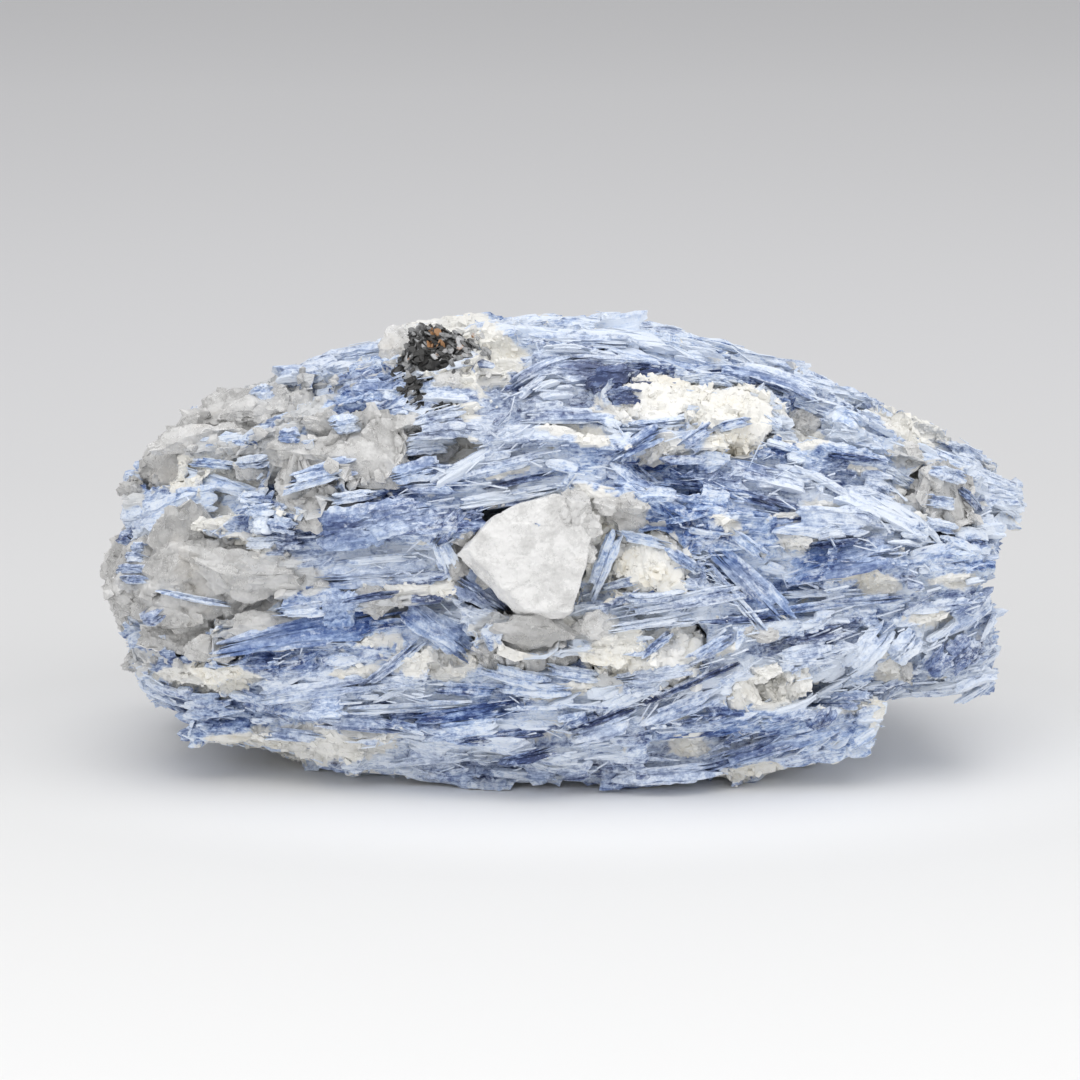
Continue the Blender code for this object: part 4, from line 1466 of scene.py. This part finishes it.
def scattered(rng, count, length, width, thickness, swing, roll, tip, proud):
    """Laths on seeds that fall evenly over the skin, bent so that both ends keep to the body."""
    places = seeds(rng, ground_pieces, count, 1.04 - np.maximum(ground_crust, ground_quartz))[0]
    hits = [body_tree.find_nearest(Vector(place)) for place in places]
    places = np.array([hit[0] for hit in hits])
    normals = body_normals[[hit[2] for hit in hits]]
    runs = flow(places)
    out = (runs * normals).sum(1)
    stub = np.abs(out) > END_OUT
    along = np.where(stub[:, None], runs, unit(runs - normals * out[:, None]))
    facing = normals.copy()
    facing[stub] = unit(rng.normal(0, 1, (stub.sum(), 3)) * (0.1, 0.5, 1.0))
    degrees = np.radians(rng.normal(0, 1, (3, count)) * np.array((swing, roll, tip))[:, None])
    swings = np.radians([row[-1] for row in TURNS]) @ patch_weights(places, normals, TURNS)
    along = turned(along, facing, degrees[0] + swings * ~stub)
    size = np.stack([rng.uniform(*limits, count) * MM for limits in (length, width, thickness)], 1)
    size[stub, 0] = np.minimum(size[stub, 0], STUB_MOST)
    sag, gap = np.zeros(count), np.zeros(count)
    for i in np.flatnonzero(~stub):
        half = along[i] * size[i, 0] / 2
        ends = [np.array(body_tree.find_nearest(Vector(places[i] + side * half))[0]) for side in (-1, 1)]
        along[i] = unit(ends[1] - ends[0])
        drop = (ends[0] + ends[1] - 2 * places[i]) @ facing[i] / 2
        sag[i] = np.clip(drop, BEND[0] * size[i, 0], BEND[1] * size[i, 0])
        gap[i] = max(sag[i] - drop, 0) + abs(np.linalg.norm(ends[1] - ends[0]) - size[i, 0]) / 2
    across = unit(np.cross(facing, along))
    facing = turned(facing, along, degrees[1])
    along = turned(along, across, degrees[2])
    lift = (proud + rng.uniform(-0.25, 0.15, count) - 0.5) * size[:, 2]
    middles = places + normals * lift[:, None]
    middles[stub] = places[stub] - along[stub] * np.sign(out[stub])[:, None] * size[stub, :1] * STUB_SUNK
    tone = rng.normal(0, 0.08, count) - 0.25 * np.maximum(*shares_at(places, normals))
    calm = smoothstep(size[:, 1], 1.2 * MM, 6.0 * MM) * rng.uniform(0.3, 1.0, count)
    return {
        "middle": middles, "along": along, "facing": facing, "size": size, "sag": sag, "tone": tone,
        "calm": calm, "gap": gap,
    }


def at_share(stamps, share):
    """The points that far along the laths, from -0.5 at one end to 0.5 at the other."""
    return stamps["middle"] + stamps["along"] * stamps["size"][:, :1] * share


def fits(stamps):
    """Laths whose ends stay on the body, inside the frame's box and off the resting face."""
    half = stamps["along"] * stamps["size"][:, :1] / 2
    ends = np.stack((stamps["middle"] - half, stamps["middle"] + half))
    inside = (ends > np.array(cad_low) - BOX_SLACK) & (ends < np.array(cad_high) + BOX_SLACK)
    return inside.all((0, 2)) & (ends[..., 2].min(0) > BASE_CLEAR) & (stamps["gap"] < GAP_MOST)


grain_trees = node_trees(GRAIN_NODES)
named_tree = bvh(named_laths)


def clear(stamps, of_named):
    """Laths that keep off the grains, the crusts and the lumps, and where it is asked off the named laths."""
    free = ~near(stamps["middle"], grain_trees, GRAIN_CLEAR[0])
    for share in (-0.48, -0.24, 0.24, 0.48):
        end = at_share(stamps, share)
        free &= ~near(end, grain_trees, GRAIN_CLEAR[1])
        free &= np.maximum(*shares_at(end, stamps["facing"])) < BARE
    for share in (-0.25, 0.0, 0.25) if of_named else ():
        free &= ~near(at_share(stamps, share), [named_tree], NAMED_CLEAR)
    return free


lath_pieces = []
for index, (name, kind, *how) in enumerate(SCATTER):
    stamps = scattered(np.random.default_rng(100 + index), *how)
    stamps = kept(stamps, fits(stamps))
    stamps = kept(stamps, clear(stamps, kind != "splinter"))
    lath_pieces.append(stamped(name, LATHS[kind], stamps, in_flow=True))

# %% [markdown]
# ## Kyanite
# One material serves the skin and every lath. It reads the grain, which runs along the blade, so its noise
# is stretched into streaks. The tone picks a place on a ramp from white to indigo, streaks and clouds push
# that place about, and the rim pulls it to white, because broken edges are full of tiny cleavage cracks.
# The streaks and the sugary crust are node groups, because more than one place needs them.

# %% Shared effects
SUGAR_RAMP = (
    (0.62, (0.88, 0.875, 0.855)),
    (0.92, (0.87, 0.855, 0.805)),
    (1.06, (0.825, 0.79, 0.705)),
)


def group(name, inputs, outputs):
    """(an empty node group, its input sockets, a function that fills an output)"""
    tree = bpy.data.node_groups.new(name, "ShaderNodeTree")
    for in_out, sockets in (("INPUT", inputs), ("OUTPUT", outputs)):
        for socket, kind in sockets:
            tree.interface.new_socket(socket, in_out=in_out, socket_type="NodeSocket" + kind)
    entry, leave = tree.nodes.new("NodeGroupInput"), tree.nodes.new("NodeGroupOutput")
    return tree, entry.outputs, lambda socket, value: tree.links.new(value, leave.inputs[socket])


def use(tree, made, values):
    return add_node(tree, "ShaderNodeGroup", values, node_tree=made).outputs


fibres, fibres_in, fibres_out = group(
    "fibres", (("Grain", "Vector"), ("Scale", "Float"), ("Length", "Float")), (("Fibre", "Float"),)
)
fibre_share = math_node(fibres, "DIVIDE", 1.0, fibres_in["Length"])
fibre_stretch = add_node(fibres, "ShaderNodeCombineXYZ", {"X": fibre_share, "Y": 1.0, "Z": 1.0})
fibre_factors = {0: fibres_in["Grain"], 1: fibre_stretch.outputs["Vector"]}
fibre_place = add_node(fibres, "ShaderNodeVectorMath", fibre_factors, operation="MULTIPLY")
fibre_values = {
    "Vector": fibre_place.outputs["Vector"], "Scale": fibres_in["Scale"],
    "Detail": 4.0, "Roughness": 0.62, "Distortion": 0.35,
}
fibres_out("Fibre", add_node(fibres, "ShaderNodeTexNoise", fibre_values).outputs["Fac"])
print("fibres", [item.name for item in fibres.interface.items_tree])

sugar, sugar_in, sugar_out = group("sugar", (("Place", "Vector"), ("Tone", "Float")), (("Color", "Color"),))
sugar_cloud = noise_node(sugar, sugar_in["Place"], 60.0, detail=4.0)
sugar_cloud = math_node(sugar, "MULTIPLY_ADD", sugar_in["Tone"], 0.16, sugar_cloud)
sugar_dust = noise_node(sugar, sugar_in["Place"], 900.0, detail=3.0, roughness=0.7)
sugar_level = math_node(sugar, "MULTIPLY_ADD", sugar_dust, 0.5, sugar_cloud)
sugar_out("Color", ramp(sugar, sugar_level, SUGAR_RAMP))
print("sugar", [item.name for item in sugar.interface.items_tree])

# %% Kyanite
KYANITE_RAMP = (
    (0.00, (0.79, 0.855, 0.955)),
    (0.14, (0.645, 0.735, 0.895)),
    (0.32, (0.45, 0.55, 0.75)),
    (0.52, (0.28, 0.36, 0.56)),
    (0.72, (0.14, 0.20, 0.39)),
    (0.88, (0.07, 0.105, 0.25)),
    (1.00, (0.036, 0.056, 0.15)),
)
FROST = (0.79, 0.85, 0.945)
GREY_QUARTZ = (0.68, 0.69, 0.70)
STRANDS = (  # name, which attribute it runs along, scale, how many times longer than wide
    ("patch", "sheaf", 170.0, 3.0),
    ("strand", "grain", 650.0, 5.0),
    ("fine", "grain", 2300.0, 8.0),
    ("cross", "sheaf", 900.0, 1.6),
    ("speck", "grain", 2000.0, 2.4),
    ("streak", "grain", 1000.0, 4.5),
)
STREAKS = (("strand", 1.6), ("fine", 1.3), ("cross", 1.2), ("speck", 1.2))  # how far each moves the tone


def kyanite():
    made, shader, tree = material("kyanite")
    place = place_node(tree)
    tone, rim = attribute_node(tree, "tone"), attribute_node(tree, "rim")
    runs = {name: attribute_node(tree, name, "Vector") for name in ("grain", "sheaf")}
    strands = {
        name: use(tree, fibres, {"Grain": runs[run], "Scale": scale, "Length": length})["Fibre"]
        for name, run, scale, length in STRANDS
    }
    frost_noise = noise_node(tree, place, 850.0, detail=5.0, roughness=0.72)
    busy = math_node(tree, "MULTIPLY_ADD", attribute_node(tree, "calm"), -0.62, 1.0)
    streaks = 0.0
    for name, strength in STREAKS:
        streaks = pushed(tree, streaks, strands[name], strength)
    level = pushed(tree, tone, strands["patch"], 1.6)
    level = math_node(tree, "MULTIPLY_ADD", streaks, busy, level)
    level = pushed(tree, level, frost_noise, -0.9)
    level = math_node(tree, "MULTIPLY_ADD", rim, -0.12, level, clamp=True)
    depth_of_hue = stepped(tree, noise_node(tree, runs["sheaf"], 60.0, (0.4, 1, 1)), 0.35, 0.65, 0.74, 1.22)
    hue_values = {"Color": ramp(tree, level, KYANITE_RAMP), "Saturation": depth_of_hue}
    colour = add_node(tree, "ShaderNodeHueSaturation", hue_values).outputs["Color"]

    frost_patch = noise_node(tree, place, 130.0, detail=4.0)
    frost = math_node(tree, "MULTIPLY_ADD", frost_patch, 0.8, strands["streak"])
    frost = math_node(tree, "MULTIPLY_ADD", strands["fine"], 0.5, frost)
    frost = math_node(tree, "MULTIPLY_ADD", rim, 0.12, frost)
    frost = pushed(tree, frost, frost_noise, 1.0)
    frost = math_node(tree, "MULTIPLY_ADD", busy, 0.08, frost)
    frost = math_node(tree, "MULTIPLY_ADD", tone, -0.28, frost)
    colour = mixed(tree, stepped(tree, frost, 1.10, 1.36, 0.0, 0.85), colour, FROST)
    vein = math_node(tree, "ABSOLUTE", math_node(tree, "SUBTRACT", strands["strand"], 0.5))
    vein = stepped(tree, vein, 0.012, 0.0)
    vein = math_node(tree, "MULTIPLY", vein, stepped(tree, frost_patch, 0.45, 0.62, 0.0, 0.7))
    colour = mixed(tree, vein, colour, FROST)

    glassy = math_node(tree, "MULTIPLY_ADD", frost_noise, 0.8, attribute_node(tree, "quartz"))
    colour = mixed(tree, stepped(tree, glassy, 0.60, 0.95), colour, GREY_QUARTZ)
    crust = math_node(tree, "MULTIPLY_ADD", frost_noise, 0.8, attribute_node(tree, "crust"))
    crust_colour = use(tree, sugar, {"Place": place, "Tone": 0.4})["Color"]
    colour = mixed(tree, stepped(tree, crust, 0.55, 0.95), colour, crust_colour)

    height = math_node(tree, "MULTIPLY", math_node(tree, "ADD", strands["fine"], strands["strand"]), busy)
    height = math_node(tree, "MULTIPLY_ADD", frost_noise, 0.6, height)
    finished(tree, shader, colour, stepped(tree, frost_noise, 0.3, 0.7, 0.34, 0.68), height, 0.9, 0.4 * MM)
    shader.inputs["Specular IOR Level"].default_value = 0.35
    return made


kyanite_material = kyanite()
for piece in (skin, named_laths, *lath_pieces):
    piece.data.materials.append(kyanite_material)
print("kyanite on", 2 + len(lath_pieces), "pieces")

# %% [markdown]
# ## Quartz, feldspar and mica
# Rough quartz is partly clear, so it lets some light in and looks grey where it is thick. The free crystal
# is milkier. Feldspar takes no light in and is all bump and dust. Mica is a dark mirror in small pieces.

# %% Quartz, feldspar and mica
QUARTZ_CLEAR = (0.62, 0.615, 0.605)
QUARTZ_MILKY = (0.90, 0.895, 0.885)
RUST = (0.72, 0.60, 0.42)
MICA_RAMP = (
    (0.00, (0.012, 0.012, 0.012)),
    (0.42, (0.035, 0.034, 0.033)),
    (0.60, (0.095, 0.095, 0.095)),
    (0.78, (0.34, 0.345, 0.35)),
    (0.92, (0.60, 0.60, 0.61)),
    (1.00, (0.44, 0.24, 0.12)),
)


def quartz(name, see_through, milky):
    """milky is the level of the cloud noise where the milk starts, so a low one gives a whiter stone."""
    made, shader, tree = material(name)
    place = place_node(tree)
    cloud = noise_node(tree, place, 190.0, detail=6.0, roughness=0.68)
    milk = math_node(tree, "MULTIPLY_ADD", attribute_node(tree, "tone"), 0.3, cloud)
    colour = mixed(tree, stepped(tree, milk, milky, milky + 0.24), QUARTZ_CLEAR, QUARTZ_MILKY)
    stain = noise_node(tree, place, 55.0, detail=4.0)
    colour = mixed(tree, stepped(tree, stain, 0.60, 0.80, 0.0, 0.35), colour, RUST)
    fine = noise_node(tree, place, 1300.0, detail=4.0, roughness=0.6)
    splits = add_node(tree, "ShaderNodeTexVoronoi", {"Vector": place, "Scale": 760.0, "Randomness": 1.0})
    height = math_node(tree, "MULTIPLY_ADD", splits.outputs["Distance"], 0.8, fine)
    finished(tree, shader, colour, stepped(tree, cloud, 0.35, 0.65, 0.16, 0.45), height, 0.65, 0.4 * MM)
    shader.inputs["Transmission Weight"].default_value = see_through
    shader.inputs["IOR"].default_value = 1.54
    return made


def feldspar():
    made, shader, tree = material("feldspar")
    place = place_node(tree)
    colour = use(tree, sugar, {"Place": place, "Tone": attribute_node(tree, "tone")})["Color"]
    fine = noise_node(tree, place, 2200.0, detail=4.0, roughness=0.65)
    finished(tree, shader, colour, stepped(tree, fine, 0.3, 0.7, 0.45, 0.8), fine, 0.6, 0.2 * MM)
    return made


def mica():
    made, shader, tree = material("mica")
    flake = noise_node(tree, place_node(tree), 500.0, detail=4.0, roughness=0.7)
    uneven = stepped(tree, flake, 0.3, 0.7, -0.12, 0.12)
    level = math_node(tree, "ADD", attribute_node(tree, "tone"), uneven, clamp=True)
    colour = ramp(tree, level, MICA_RAMP)
    finished(tree, shader, colour, stepped(tree, flake, 0.3, 0.7, 0.2, 0.5), flake, 0.4, 0.15 * MM)
    return made


FINISHES = (
    (quartz("rough_quartz", 0.30, 0.54), (*rough_quartz, crystal_bed, quartz_chips, quartz_grains)),
    (quartz("milky_crystal", 0.08, 0.30), (front_crystal,)),
    (feldspar(), (*sugar_lumps, sugar_crumbs, sugar_grains)),
    (mica(), (mica_core, mica_leaves)),
)
for finish, pieces in FINISHES:
    for piece in pieces:
        piece.data.materials.append(finish)
    print(finish.name, "on", len(pieces), "pieces")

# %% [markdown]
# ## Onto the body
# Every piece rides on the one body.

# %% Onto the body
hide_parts("kyanite_blade_mass")
SLOTS = (
    ("kyanite", (skin, named_laths, *lath_pieces)),
    ("quartz", (*rough_quartz, quartz_chips, quartz_grains)),
    ("quartz_crystal", (front_crystal, crystal_bed)),
    ("feldspar", (*sugar_lumps, sugar_crumbs, sugar_grains)),
    ("mica", (mica_core, mica_leaves)),
)
for slot_name, slot_pieces in SLOTS:
    for piece in slot_pieces:
        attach(piece, "root")
